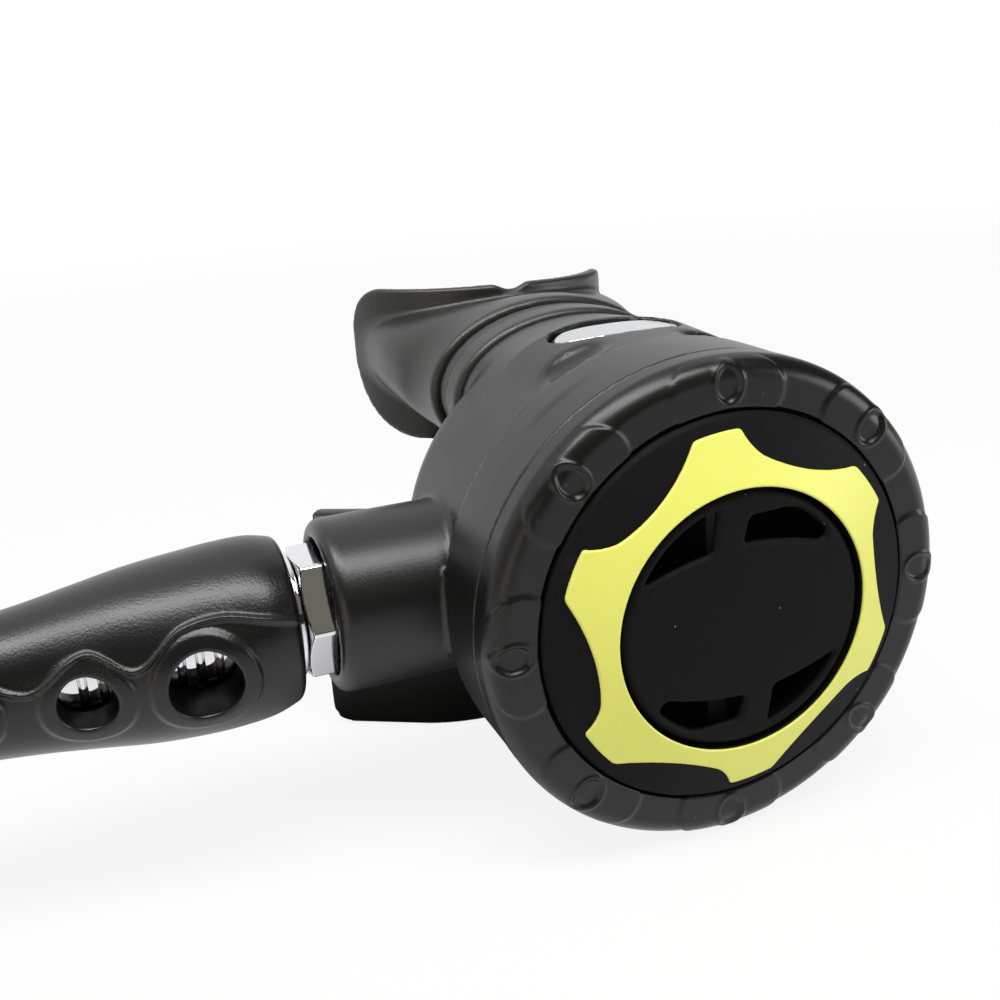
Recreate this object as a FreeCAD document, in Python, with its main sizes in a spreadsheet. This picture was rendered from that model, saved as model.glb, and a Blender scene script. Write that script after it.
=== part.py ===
import FreeCAD, Part
import math
import os
import Sketcher

os.makedirs("parts", exist_ok=True)
doc = FreeCAD.newDocument("second_stage")
V = FreeCAD.Vector

# Frame: the stage stands upright with its face towards -Y, its mouthpiece towards +Y and its hose
# leaving towards -X. The origin is the middle of the bottom of its box, the hose assembly left out.
# Depths below count from the plane where the cover meets the ring's mouth, and grow towards +Y.
# Heights count from the axis of the case.

SIZES = {
    "ring_radius": (36.0, "outside of the cover ring, and height of the case axis"),
    "ring_face": (7.1, "width of the ring's front, from its outside to its mouth"),
    "ring_back": (6.0, "depth where the ring ends and the case begins"),
    "ring_corner": (3.2, "rounding of the ring's front corner"),
    "ring_lip": (1.6, "thickness of the lip that holds the cover"),
    "ring_wall": (3.0, "step from the ring's outside down to its male thread"),
    "ring_skirt": (9.4, "depth of the threaded skirt's end"),
    "skirt_wall": (1.6, "wall of the threaded skirt"),
    "pad_height": (0.45, "how far the grip pads stand proud"),
    "pad_gap": (11.0, "angle between two grip pads"),
    "pads": (8, "number of grip pads"),
    "thread_fit": (0.1, "radial clearance of the ring's thread"),
    "joint_gap": (0.2, "axial clearance between ring and case"),
    "cover_front": (1.7, "how far the cover's flat stands in front of its edge"),
    "cover_slope": (1.7, "width of the slope round the cover's flat"),
    "cover_wall": (1.0, "thickness of the cover"),
    "cover_flange": (1.7, "thickness of the cover's flange"),
    "gear_edge": (0.3, "gap from the tips of the gear ring to the edge of the cover's flat"),
    "gear_tooth": (4.7, "height of the gear ring's teeth"),
    "gear_band": (2.9, "narrowest width of the gear ring, down to the window"),
    "gear_scallop": (1.113, "radius of the hollow between two teeth, as a share of the valley's"),
    "gear_thick": (1.4, "thickness of the gear ring"),
    "gear_turn": (4.6, "turn of the gear ring about the case axis"),
    "gear_bevel": (0.45, "bevel along the gear ring's outer edge"),
    "teeth": (6, "teeth of the gear ring"),
    "button_front": (4.4, "how far the button's middle stands in front of the cover's edge"),
    "button_brow": (3.9, "how far its face stands there where it starts to round off"),
    "button_round": (1.6, "rounding of the button's edge"),
    "button_wall": (1.6, "thickness of the button"),
    "button_gap": (0.35, "running gap round the button"),
    "flange_hold": (1.7, "how far the flange that keeps the button in reaches past the window"),
    "flange_thick": (1.0, "thickness of the button's flange"),
    "button_stem": (4.6, "radius of the button's stem"),
    "button_turn": (8.0, "turn of the button about the case axis"),
    "vent_edge": (2.1, "width of the button outside its vents, with its running gap"),
    "vent_bar": (2.4, "half width of the upright bar between the vents"),
    "vent_height": (6.2, "height of the vents beside the bar, up to their outer radius"),
    "vent_tip": (2.4, "gap from the vents' tips to their outer radius, across"),
    "vent_curve": (43.0, "radius of the band's edges"),
    "press": (2.6, "travel of the button"),
    "grille_front": (3.7, "depth of the grille's spokes"),
    "spoke_width": (3.0, "width of the grille's spokes"),
    "spoke_thick": (1.4, "thickness of the grille's spokes"),
    "spokes": (4, "spokes of the grille"),
    "grille_flange": (1.5, "thickness of the grille's clamping flange"),
    "grille_wall": (2.0, "wall of the grille's sleeve"),
    "hub_radius": (7.6, "outside of the grille's hub"),
    "slide_fit": (0.3, "radial clearance of the stem in the hub"),
    "bead_height": (2.0, "thickness of the diaphragm's bead"),
    "bead_width": (3.6, "width of the diaphragm's bead"),
    "membrane": (0.9, "thickness of the diaphragm"),
    "roll_depth": (3.0, "depth of the diaphragm's roll"),
    "plate_radius": (16.6, "radius of the diaphragm plate"),
    "plate_thick": (1.0, "thickness of the diaphragm plate"),
    "lever_gap": (0.15, "gap from the diaphragm plate to the lever's tip"),
    "rim_step": (0.1, "how far the case's rim lies inside the ring's outside"),
    "rim_back": (19.0, "depth of the rim's rear edge"),
    "rim_bevel": (0.8, "length of the bevel behind the rim"),
    "bowl_step": (1.6, "step from the rim down to the bowl"),
    "case_back": (48.0, "depth of the case's back"),
    "case_wall": (2.8, "wall of the case"),
    "case_round": (7.0, "rounding of the case's rear edge"),
    "ledge_wall": (3.0, "width of the ledge that carries the diaphragm"),
    "barrel_radius": (13.2, "outside of the inlet barrel"),
    "barrel_depth": (30.8, "depth of the barrel's axis"),
    "barrel_end": (51.3, "where the inlet barrel ends"),
    "barrel_mouth": (10.9, "radius of the recess in the barrel's end"),
    "barrel_recess": (3.0, "depth of that recess"),
    "barrel_round": (1.6, "rounding of the barrel's end"),
    "boss_end": (39.5, "where the boss of the end plug ends"),
    "coin_width": (1.2, "width of the coin slot in the end plug"),
    "coin_depth": (1.6, "depth of that slot"),
    "tube_drop": (13.9, "how far the mouthpiece tube's axis lies below the rim's crest"),
    "tube_wide": (20.2, "half width of the mouthpiece tube"),
    "tube_tall": (12.5, "half height of the mouthpiece tube"),
    "tube_flare": (4.5, "how much wider the tube is where it leaves the rim"),
    "tube_raise": (1.2, "how much taller the tube is where it leaves the rim"),
    "tube_root": (13.0, "depth where the tube begins inside the rim"),
    "tube_knee": (36.0, "depth where the tube's top starts to fall"),
    "tube_rise": (2.5, "from the case's back to the shoulder that the mouthpiece meets"),
    "seat_length": (14.5, "length of the tube behind its shoulder"),
    "tube_step": (1.4, "step down from the shoulder to the seat"),
    "tube_wall": (2.2, "wall of the mouthpiece tube"),
    "plate_half": (10.9, "half length of the nameplate"),
    "plate_tall": (4.7, "half width of the nameplate"),
    "plate_depth": (34.3, "depth of the nameplate's middle"),
    "plate_sink": (2.3, "depth of the nameplate's pocket under the tube's crest"),
    "plate_fit": (0.1, "gap round the nameplate"),
    "name_thick": (0.9, "thickness of the nameplate"),
    "port_drop": (12.5, "drop of the exhaust port below the case axis"),
    "port_radius": (11.6, "radius of the exhaust port"),
    "port_hub": (4.8, "radius of the hub that holds the exhaust valve"),
    "collar_radius": (15.2, "outside of the collar that carries the exhaust tee"),
    "collar_wall": (1.8, "wall of that collar"),
    "collar_end": (54.0, "depth of the collar's end"),
    "port_spoke": (2.4, "width of the port's spokes"),
    "valve_radius": (13.1, "radius of the exhaust valve"),
    "valve_thick": (0.9, "thickness of the exhaust valve"),
    "tee_half": (46.0, "half width of the exhaust tee"),
    "tee_front": (48.4, "depth of the tee's front wall"),
    "tee_shoulder": (26.0, "where the tee's front wall starts to sweep back"),
    "wing_angle": (31.0, "angle at which the tee's wings sweep back"),
    "tee_deep": (16.0, "depth of the tee from front to back"),
    "tee_top": (4.4, "top of the tee above the case axis"),
    "tee_wall": (1.5, "wall of the tee"),
    "tee_round": (1.6, "rounding of the tee's long edges"),
    "tee_slope": (11.0, "how far forward the slope of the tee's top begins"),
    "tee_drop": (9.0, "how far that slope falls"),
    "neck_wide": (22.2, "half width of the mouthpiece's neck"),
    "neck_tall": (14.2, "half height of the mouthpiece's neck"),
    "neck_length": (16.5, "from the shoulder to where the neck starts to swell"),
    "tie_width": (3.4, "width of the tie"),
    "tie_thick": (0.9, "thickness of the tie"),
    "tie_start": (5.5, "from the shoulder to the tie's front edge"),
    "lock_width": (2.7, "width of the tie's lock block"),
    "lock_height": (5.4, "height of that block"),
    "bead_gap": (3.4, "width of the bead between the tie and the second groove"),
    "bead_groove": (1.7, "width of the second groove"),
    "dome_wide": (27.5, "half width of the swelling behind the neck"),
    "dome_tall": (11.8, "half height of that swelling"),
    "arch_radius": (28.0, "outer radius of the curved bite flange"),
    "arch_lead": (9.0, "from the neck's end to the flange's middle"),
    "flange_wall": (2.2, "thickness of the bite flange"),
    "flange_tall": (15.2, "height of the bite flange above its middle"),
    "flange_low": (13.9, "depth of the bite flange below its middle"),
    "flange_round": (6.0, "rounding of its upper corners"),
    "flange_turn": (12.0, "rounding of its lower corners"),
    "bite_depth": (20.0, "from the flange's middle to the mouthpiece's rear end"),
    "tab_thick": (3.6, "thickness of the bite tabs"),
    "tab_width": (9.0, "depth of the lugs at the ends of the bite tabs"),
    "tab_reach": (12.6, "how far the bite tabs reach to the side"),
    "lug_tall": (5.6, "half height of the lugs on the bite tabs"),
    "notch": (4.0, "radius of the notch in the flange's top edge"),
    "notch_deep": (1.2, "depth of that notch"),
    "bore_wide": (15.6, "half width of the air way"),
    "bore_tall": (8.2, "half height of the air way"),
    "valve_tube": (7.5, "outside of the valve tube"),
    "tube_tail": (33.0, "where the valve tube ends on the far side"),
    "valve_bore": (5.6, "bore of the valve tube"),
    "body_fit": (0.05, "radial clearance of the valve tube in the case"),
    "inlet_thread": (7.1, "outside of the thread that takes the hose nut"),
    "inlet_end": (53.0, "where the threaded inlet ends"),
    "inlet_bore": (3.0, "bore of the inlet"),
    "stem_socket": (4.7, "radius of the socket for the hose stem's nose"),
    "socket_depth": (5.0, "depth of that socket"),
    "orifice_face": (36.0, "where the valve's mouth lies"),
    "orifice_length": (9.0, "length of the orifice"),
    "orifice_bore": (2.0, "bore of the orifice"),
    "orifice_lip": (0.45, "width of the lip that the poppet's seat closes"),
    "web_place": (19.0, "where the spring's web lies in the valve tube"),
    "web_thick": (1.4, "thickness of that web"),
    "web_hole": (2.2, "radius of the hole in the web"),
    "poppet_fit": (0.3, "radial clearance of the poppet"),
    "poppet_length": (6.0, "length of the poppet's head"),
    "poppet_stem": (1.6, "radius of the poppet's stem"),
    "stem_end": (11.4, "where the poppet's stem ends"),
    "seat_radius": (3.6, "radius of the poppet's soft seat"),
    "seat_thick": (1.6, "thickness of that seat"),
    "lift": (0.55, "travel of the poppet"),
    "spring_radius": (3.9, "middle radius of the poppet spring"),
    "spring_wire": (0.4, "radius of its wire"),
    "spring_turns": (5, "turns of the poppet spring"),
    "cord_small": (0.75, "radius of the sealing rings' cord"),
    "lever_pivot": (16.0, "where the lever's pivot lies, inlet side"),
    "lever_tip": (3.0, "where the lever touches the plate"),
    "lever_sheet": (1.2, "thickness of the lever's sheet"),
    "lever_half": (3.2, "half width of the lever's arm"),
    "leg_width": (3.6, "width of the lever's legs"),
    "lever_clear": (1.1, "gap between the lever's bridge and the valve tube"),
    "toe_radius": (0.9, "radius of the lever's toes"),
    "toe_offset": (4.0, "distance of the toes from the lever's pivot"),
    "toe_reach": (1.5, "distance of the toes' ends from the tube's axis"),
    "slot_length": (6.3, "length of the slots that the toes go through"),
    "slot_height": (3.1, "height of those slots"),
    "slot_lead": (1.3, "how far the slots begin before the lever's pivot"),
    "washer_radius": (5.0, "radius of the lever washer"),
    "washer_thick": (0.8, "thickness of the lever washer"),
    "lever_nut_flats": (5.5, "lever nut across flats"),
    "lever_nut_bevel": (0.3, "bevel of its corners"),
    "nut_flats": (17.5, "hexagon of the hose nut across flats"),
    "nut_front": (49.6, "where the hose nut begins"),
    "nut_back": (55.2, "where the hose nut ends"),
    "nut_web": (1.4, "thickness of the nut's rear web"),
    "nut_bevel": (0.9, "bevel of the nut's corners"),
    "stem_neck": (4.8, "radius of the hose stem's neck"),
    "stem_barb": (4.0, "radius of the stem inside the ferrule"),
    "stem_flange": (6.7, "radius of the flange that the nut pulls on"),
    "stem_gap": (0.1, "gap on each side of that flange"),
    "collar_disc": (9.3, "radius of the stem's collar"),
    "collar_thick": (0.9, "thickness of the stem's collar"),
    "sleeve_start": (56.4, "where the hose sleeve begins"),
    "sleeve_end": (130.0, "where the hose sleeve ends"),
    "sleeve_mouth": (11.6, "radius of the sleeve's wide end"),
    "sleeve_belly": (13.1, "radius of the sleeve where it is thickest"),
    "sleeve_tail": (8.4, "radius of the sleeve's thin end"),
    "sleeve_waist": (78.0, "where the sleeve starts to taper"),
    "sleeve_side": (12.5, "radius of the sleeve there"),
    "sleeve_mid": (92.0, "where the taper gets gentler"),
    "sleeve_slim": (10.5, "radius of the sleeve there"),
    "sleeve_fit": (0.1, "gap between sleeve and ferrule"),
    "hose_room": (0.5, "gap between sleeve and hose"),
    "hole_first": (70.3, "place of the sleeve's first hole"),
    "hole_pitch": (15.3, "distance from hole to hole"),
    "hole_radius": (4.9, "radius of the first hole"),
    "hole_shrink": (1.15, "how much each hole is smaller than the one before"),
    "holes": (3, "holes along each side of the sleeve"),
    "hole_rim": (2.1, "width of the holes' rims"),
    "rim_proud": (0.35, "how far the rims stand proud"),
    "hole_tilt": (11.0, "how far the holes look down"),
    "ferrule_radius": (7.9, "radius of the crimped ferrule"),
    "ferrule_end": (104.0, "where the ferrule ends"),
    "crimp_first": (65.1, "place of the first crimp groove"),
    "crimp_pitch": (2.6, "distance from crimp groove to crimp groove"),
    "crimp_width": (0.6, "width of the crimp grooves"),
    "crimps": (9, "number of crimp grooves"),
    "crimp_depth": (0.5, "depth of the crimp grooves"),
    "hose_radius": (6.0, "radius of the hose"),
    "coil_radius": (60.0, "radius of the put-away coil"),
    "coil_start": (200.5, "where the coil begins"),
    "coil_lift": (15.5, "height of the coil's upper layer above the lower one"),
    "end_rise": (1.3, "rise of the coil's last quarter to the fitting"),
    "far_radius": (7.2, "radius of the far ferrule"),
    "far_taper": (1.5, "length of the taper at the far ferrule's end"),
    "far_crimps": (4, "number of crimp grooves in the far ferrule"),
    "far_length": (26.0, "length of the far ferrule"),
    "coil_lead": (12.0, "straight piece at each end of the coil"),
    "hose_level": (36.5, "length of the hose's first run"),
    "hose_drop": (41.0, "length over the ground of its second run"),
    "hex_flats": (14.3, "hexagon of the first-stage fitting across flats"),
    "hex_length": (7.0, "length of that hexagon"),
    "thread_radius": (4.7625, "outside of the first-stage thread"),
    "thread_length": (8.5, "length of the first-stage thread"),
    "overrun": (3.0, "how far the tools of a cut run past the faces that they cut"),
}

sheet = doc.addObject("Spreadsheet::Sheet", "Sizes")
for row, (name, (amount, meaning)) in enumerate(SIZES.items(), start=1):
    sheet.set(f"A{row}", str(amount))
    sheet.set(f"B{row}", meaning)
    sheet.setAlias(f"A{row}", name)
doc.recompute()


class Size:
    """A sheet value, or a sum, product or share of such values, as a number and as an expression."""

    def __init__(self, value, text=None):
        self.value = float(value)
        self.text = text or f"{self.value:.6f}"

    def join(self, other, sign, value, swap=False):
        first, last = (other, self) if swap else (self, other)
        return Size(value, f"({first.text} {sign} {last.text})")

    def __add__(self, other):
        other = as_size(other)
        return self.join(other, "+", self.value + other.value)

    def __sub__(self, other):
        other = as_size(other)
        return self.join(other, "-", self.value - other.value)

    def __rsub__(self, other):
        other = as_size(other)
        return self.join(other, "-", other.value - self.value, swap=True)

    def __mul__(self, other):
        other = as_size(other)
        return self.join(other, "*", self.value * other.value)

    def __truediv__(self, other):
        other = as_size(other)
        return self.join(other, "/", self.value / other.value)

    def __neg__(self):
        return Size(-self.value, f"(0 - {self.text})")

    def __float__(self):
        return self.value

    __radd__ = __add__
    __rmul__ = __mul__


def as_size(thing):
    return thing if isinstance(thing, Size) else Size(thing)


class Sheet:
    """The sheet's cells by name."""


S = Sheet()
for name in SIZES:
    setattr(S, name, Size(sheet.get(name), f"Sizes.{name}"))


def cosine(angle):
    angle = as_size(angle)
    return Size(math.cos(math.radians(angle.value)), f"cos({angle.text})")


def sine(angle):
    angle = as_size(angle)
    return Size(math.sin(math.radians(angle.value)), f"sin({angle.text})")


def tangent(angle):
    angle = as_size(angle)
    return Size(math.tan(math.radians(angle.value)), f"tan({angle.text})")


def root(square):
    square = as_size(square)
    return Size(math.sqrt(square.value), f"sqrt({square.text})")


def bind(thing, prop, size):
    """Set a property from the sheet and keep it tied to it."""
    size = as_size(size)
    thing.setExpression(prop, size.text)


# Radii that follow from the ring's outside: the ring, the cover, the gear ring, the button, the case.
# The depths of the tube and the mouthpiece follow from the case's back.
ring_mouth = S.ring_radius - S.ring_face
ring_thread = S.ring_radius - S.ring_wall
cover_flat = ring_mouth - S.cover_slope
gear_radius = cover_flat - S.gear_edge
gear_valley = gear_radius - S.gear_tooth
gear_scallop = gear_valley * S.gear_scallop
window = gear_valley - S.gear_band
button_flange = window + S.flange_hold
vent_outer = window - S.vent_edge
vent_band = vent_outer - S.vent_height
vent_reach = vent_outer - S.vent_tip
rim_radius = S.ring_radius - S.rim_step
bowl_radius = rim_radius - S.bowl_step
tube_height = rim_radius - S.tube_drop
shoulder = S.case_back + S.tube_rise
tube_end = shoulder + S.seat_length
tie_depth = shoulder + S.tie_start
neck_end = shoulder + S.neck_length
arch_front = neck_end + S.arch_lead
bite_back = arch_front + S.bite_depth

# The box of the stage without its hose: the threaded inlet to the tee's far wing across, and the gear
# ring's face to the ends of the bite flange from front to back.
front_face = -S.button_front
middle_x = (S.tee_half - S.inlet_end) / 2
middle_y = (bite_back + front_face) / 2
axis_z = S.ring_radius


def place(thing, across=0, depth=0, height=0, rotation=None):
    """Put a piece at a place that is measured from the case axis and the mouth of the ring."""
    for prop, size in (("x", as_size(across) - middle_x), ("y", as_size(depth) - middle_y),
                       ("z", as_size(height) + axis_z)):
        bind(thing, f"Placement.Base.{prop}", size)
    if rotation is not None:
        thing.Placement = FreeCAD.Placement(thing.Placement.Base, rotation)


def point_at(across, depth, height):
    """The same place as a point, for shapes that are made from points."""
    return V(float(as_size(across) - middle_x), float(as_size(depth) - middle_y),
             float(as_size(height) + axis_z))


def origin_plane(body, role):
    for feature in body.Origin.OriginFeatures:
        if feature.Role == role:
            return feature


def new_body(label):
    body = doc.addObject("PartDesign::Body", label)
    body.Label = label
    return body


def side(start, end, radius):
    """Straight side, or an arc of this radius that bulges to the left, or to the right if negative.

    An arc always runs counter-clockwise, so one that bulges to the left starts at the side's end.
    """
    a = V(start[0].value, start[1].value, 0)
    b = V(end[0].value, end[1].value, 0)
    if radius is None:
        return Part.LineSegment(a, b)
    chord = b - a
    bulge = abs(radius.value) - math.sqrt(radius.value ** 2 - chord.Length ** 2 / 4)
    left = V(-chord.y, chord.x, 0).normalize() * math.copysign(bulge, radius.value)
    if radius.value > 0:
        a, b = b, a
    return Part.Arc(a, (a + b) / 2 + left, b)


def outline(body, corners, role="XY_Plane", name="Outline", arcs=None):
    """Closed outline whose corners are tied to the sheet; arcs gives the radii of its curved sides."""
    arcs = {index: as_size(radius) for index, radius in (arcs or {}).items()}
    sketch = body.newObject("Sketcher::SketchObject", name)
    sketch.AttachmentSupport = [(origin_plane(body, role), "")]
    sketch.MapMode = "FlatFace"
    corners = [(as_size(a), as_size(b)) for a, b in corners]
    count = len(corners)
    ends = []
    for index, corner in enumerate(corners):
        sketch.addGeometry(side(corner, corners[(index + 1) % count], arcs.get(index)), False)
        start = V(corner[0].value, corner[1].value, 0)
        swapped = sketch.Geometry[index].StartPoint.distanceToPoint(start) > 1e-6
        ends.append((2, 1) if swapped else (1, 2))
    for index in range(count):
        following = (index + 1) % count
        sketch.addConstraint(Sketcher.Constraint("Coincident", index, ends[index][1],
                                                 following, ends[following][0]))
    for index, corner in enumerate(corners):
        for kind, size in zip(("DistanceX", "DistanceY"), corner):
            number = sketch.addConstraint(Sketcher.Constraint(kind, -1, 1, index, ends[index][0],
                                                              size.value))
            sketch.setExpression(f"Constraints[{number}]", size.text)
    for index, radius in arcs.items():
        number = sketch.addConstraint(Sketcher.Constraint("Radius", index, abs(radius.value)))
        text = radius.text if radius.value > 0 else (-radius).text
        sketch.setExpression(f"Constraints[{number}]", text)
    return sketch


def circle(body, radius, across=0, up=0, role="XZ_Plane", name="Circle", more=()):
    """Sketch of a circle, with any further circles about the same centre."""
    sketch = body.newObject("Sketcher::SketchObject", name)
    sketch.AttachmentSupport = [(origin_plane(body, role), "")]
    sketch.MapMode = "FlatFace"
    across = as_size(across)
    up = as_size(up)
    for size in (radius, *more):
        size = as_size(size)
        middle = V(across.value, up.value, 0)
        index = sketch.addGeometry(Part.Circle(middle, V(0, 0, 1), size.value), False)
        number = sketch.addConstraint(Sketcher.Constraint("Radius", index, size.value))
        sketch.setExpression(f"Constraints[{number}]", size.text)
        for kind, part in (("DistanceX", across), ("DistanceY", up)):
            number = sketch.addConstraint(Sketcher.Constraint(kind, -1, 1, index, 3, part.value))
            sketch.setExpression(f"Constraints[{number}]", part.text)
    return sketch


def turned(label, corners, axis="V_Axis", arcs=None):
    """Body turned about its own Y axis (V_Axis) or X axis (H_Axis) from an outline."""
    body = new_body(label)
    sketch = outline(body, corners, arcs=arcs)
    turn = body.newObject("PartDesign::Revolution", "Turn")
    turn.Profile = sketch
    turn.ReferenceAxis = (sketch, [axis])
    turn.Angle = 360
    return body


def pad(body, sketch, length, back=False, name="Pad"):
    """Pad from a sketch; on the XZ plane it goes towards the face, or with back to the rear."""
    feature = body.newObject("PartDesign::Pad", name)
    feature.Profile = sketch
    bind(feature, "Length", length)
    feature.Reversed = back
    return feature


def pocket_through(body, sketch, name="Pocket"):
    feature = body.newObject("PartDesign::Pocket", name)
    feature.Profile = sketch
    feature.Type = "ThroughAll"
    feature.Midplane = True
    return feature


def repeat(body, feature, count, sketch, name="Ring"):
    """Polar pattern of a feature about the normal of its sketch."""
    pattern = body.newObject("PartDesign::PolarPattern", name)
    pattern.Originals = [feature]
    pattern.Axis = (sketch, ["N_Axis"])
    pattern.Angle = 360
    bind(pattern, "Occurrences", count)
    body.Tip = pattern
    return pattern


def edge_names(shape, wanted):
    """Names of the edges that a test picks out."""
    return [f"Edge{number}" for number, edge in enumerate(shape.Edges, start=1) if wanted(edge)]


def is_circle(edge, radius, depth=None, axis="y", near=0.02):
    """Whether an edge is a full circle of this radius, at this place along its axis."""
    curve = edge.Curve
    if not isinstance(curve, Part.Circle) or abs(curve.Radius - float(radius)) > near:
        return False
    return depth is None or abs(getattr(curve.Center, axis) - float(depth)) < near


def soften(body, radius, wanted, kind="Fillet", name="Soft"):
    """Fillet or chamfer on the edges of a body's last feature that a test picks out."""
    doc.recompute()
    base = body.Tip
    names = edge_names(base.Shape, wanted)
    feature = body.newObject(f"PartDesign::{kind}", name)
    feature.Base = (base, names)
    bind(feature, "Radius" if kind == "Fillet" else "Size", radius)
    body.Tip = feature
    return feature


def cylinder(label, radius, height):
    solid = doc.addObject("Part::Cylinder", label)
    solid.Label = label
    bind(solid, "Radius", radius)
    bind(solid, "Height", height)
    return solid


def box(label, length, width, height):
    solid = doc.addObject("Part::Box", label)
    solid.Label = label
    for prop, size in (("Length", length), ("Width", width), ("Height", height)):
        bind(solid, prop, size)
    return solid


def joined(label, *pieces):
    whole = doc.addObject("Part::MultiFuse", label)
    whole.Shapes = list(pieces)
    whole.Label = label
    return whole


def cut(label, base, *tools):
    """Base with one or more tools taken away."""
    tool = tools[0] if len(tools) == 1 else joined(f"{label}_tools", *tools)
    whole = doc.addObject("Part::Cut", label)
    whole.Base = base
    whole.Tool = tool
    whole.Label = label
    return whole


def made(label, shape):
    """Sub-part whose shape is set from points or curves."""
    feature = doc.addObject("Part::Feature", label)
    feature.Shape = shape
    feature.Label = label
    return feature


ALONG_X = FreeCAD.Rotation(V(0, 1, 0), 90)
ALONG_Y = FreeCAD.Rotation(V(1, 0, 0), -90)


def ellipse(label, wide, tall, depth, height):
    """Upright ellipse across the stage; its half width is never the smaller half."""
    curve = doc.addObject("Part::Ellipse", label)
    bind(curve, "MajorRadius", wide)
    bind(curve, "MinorRadius", tall)
    place(curve, 0, depth, height, FreeCAD.Rotation(V(1, 0, 0), 90))
    return curve


def loft(label, sections, ruled=True):
    solid = doc.addObject("Part::Loft", label)
    solid.Sections = sections
    solid.Solid = True
    solid.Ruled = ruled
    solid.Label = label
    return solid


def oval_bar(label, wide, tall, front, back, height):
    """Straight bar of oval section that runs from front to back."""
    return loft(label, [ellipse(f"{label}_front", wide, tall, front, height),
                        ellipse(f"{label}_back", wide, tall, back, height)])


# Cover ring: screw ring with a lip that holds the cover, a threaded skirt and raised grip pads.
def ring_body(label, front):
    body = turned(label, [
        (ring_mouth, front), (S.ring_radius, front), (S.ring_radius, S.ring_back),
        (ring_thread, S.ring_back), (ring_thread, S.ring_skirt),
        (ring_thread - S.skirt_wall, S.ring_skirt), (ring_thread - S.skirt_wall, S.ring_lip),
        (ring_mouth, S.ring_lip)])
    soften(body, S.ring_corner, lambda edge: is_circle(edge, S.ring_radius, front))
    place(body)
    return body


pad_half = Size(180) / S.pads - S.pad_gap / 2
pad_end = S.ring_radius - ring_mouth
pad_zone = new_body("pad_zone")
zone = outline(pad_zone, [
    (-S.ring_radius * sine(pad_half), S.ring_radius * cosine(pad_half)),
    (-ring_mouth * sine(pad_half), ring_mouth * cosine(pad_half)),
    (ring_mouth * sine(pad_half), ring_mouth * cosine(pad_half)),
    (S.ring_radius * sine(pad_half), S.ring_radius * cosine(pad_half))],
    role="XZ_Plane", arcs={0: -pad_end, 1: ring_mouth, 2: -pad_end, 3: S.ring_radius * 2})
zone_pad = pad(pad_zone, zone, S.ring_back, back=True)
repeat(pad_zone, zone_pad, S.pads, zone)
place(pad_zone)
pads = doc.addObject("Part::Common", "grip_pads")
pads.Base = ring_body("ring_full", Size(0))
pads.Tool = pad_zone
cover_ring = joined("cover_ring", ring_body("ring_low", S.pad_height), pads)

# Front cover: domed disc under the ring's lip, open in the middle.
flange_radius = ring_thread - S.skirt_wall - S.slide_fit
front_cover = turned("front_cover", [
    (window, -S.cover_front), (cover_flat, -S.cover_front), (ring_mouth - S.slide_fit, 0),
    (ring_mouth - S.slide_fit, S.ring_lip + S.joint_gap),
    (flange_radius, S.ring_lip + S.joint_gap), (flange_radius, S.ring_lip + S.joint_gap + S.cover_flange),
    (cover_flat - S.cover_wall, S.ring_lip + S.joint_gap + S.cover_flange),
    (cover_flat - S.cover_wall, S.cover_wall), (button_flange + S.slide_fit * 4, -S.cover_front
     + S.cover_wall), (window, -S.cover_front + S.cover_wall)])
place(front_cover)

# Gear ring: flat toothed ring on the cover, its outer edge bevelled.
gear_ring = new_body("gear_ring")
gear_disc = circle(gear_ring, gear_radius, name="Disc", more=[window])
pad(gear_ring, gear_disc, S.gear_thick)
half_tooth = Size(180) / S.teeth
scallop_place = gear_valley + gear_scallop
scallop = circle(gear_ring, gear_scallop, scallop_place * sine(half_tooth),
                 scallop_place * cosine(half_tooth), name="Scallop")
gear_cut = pocket_through(gear_ring, scallop)
repeat(gear_ring, gear_cut, S.teeth, scallop)
soften(gear_ring, S.gear_bevel, lambda edge: abs(edge.CenterOfMass.y + float(S.gear_thick)) < 0.01
       and not is_circle(edge, window), kind="Chamfer")
place(gear_ring, 0, -S.cover_front, 0, FreeCAD.Rotation(V(0, -1, 0), float(S.gear_turn)))

# Purge button: pillow-shaped disc with four vents, a flange that keeps it behind the cover and a stem
# that presses the diaphragm's plate.
button_radius = window - S.button_gap
flange_front = -S.cover_front + S.cover_wall + S.joint_gap
plate_front = S.ring_skirt + S.grille_flange + S.button_gap
purge_button = turned("purge_button", [
    (0, -S.button_front), (button_radius - S.button_round, -S.button_brow),
    (button_radius, S.button_round - S.button_brow), (button_radius, flange_front),
    (button_flange, flange_front), (button_flange, flange_front + S.flange_thick),
    (button_radius - S.button_wall, flange_front + S.flange_thick),
    (button_radius - S.button_wall, S.button_wall - S.button_brow),
    (S.button_stem, S.button_wall - S.button_front), (S.button_stem, plate_front - S.button_gap),
    (0, plate_front - S.button_gap)],
    arcs={0: -(button_radius * button_radius / 2 / (S.button_front - S.button_brow)),
          1: -S.button_round})
for across in (1, -1):
    for up in (1, -1):
        vent = outline(purge_button, [
            (S.vent_bar * across, vent_band * up),
            (S.vent_bar * across, root(vent_outer * vent_outer - S.vent_bar * S.vent_bar) * up),
            (vent_reach * across,
             root(vent_outer * vent_outer - vent_reach * vent_reach) * up)],
            role="XZ_Plane", name="Vent", arcs={1: vent_outer * (across * up),
                                                2: -S.vent_curve * (across * up)})
        pocket_through(purge_button, vent)
place(purge_button, 0, 0, 0, FreeCAD.Rotation(V(0, -1, 0), float(S.button_turn)))

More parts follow.
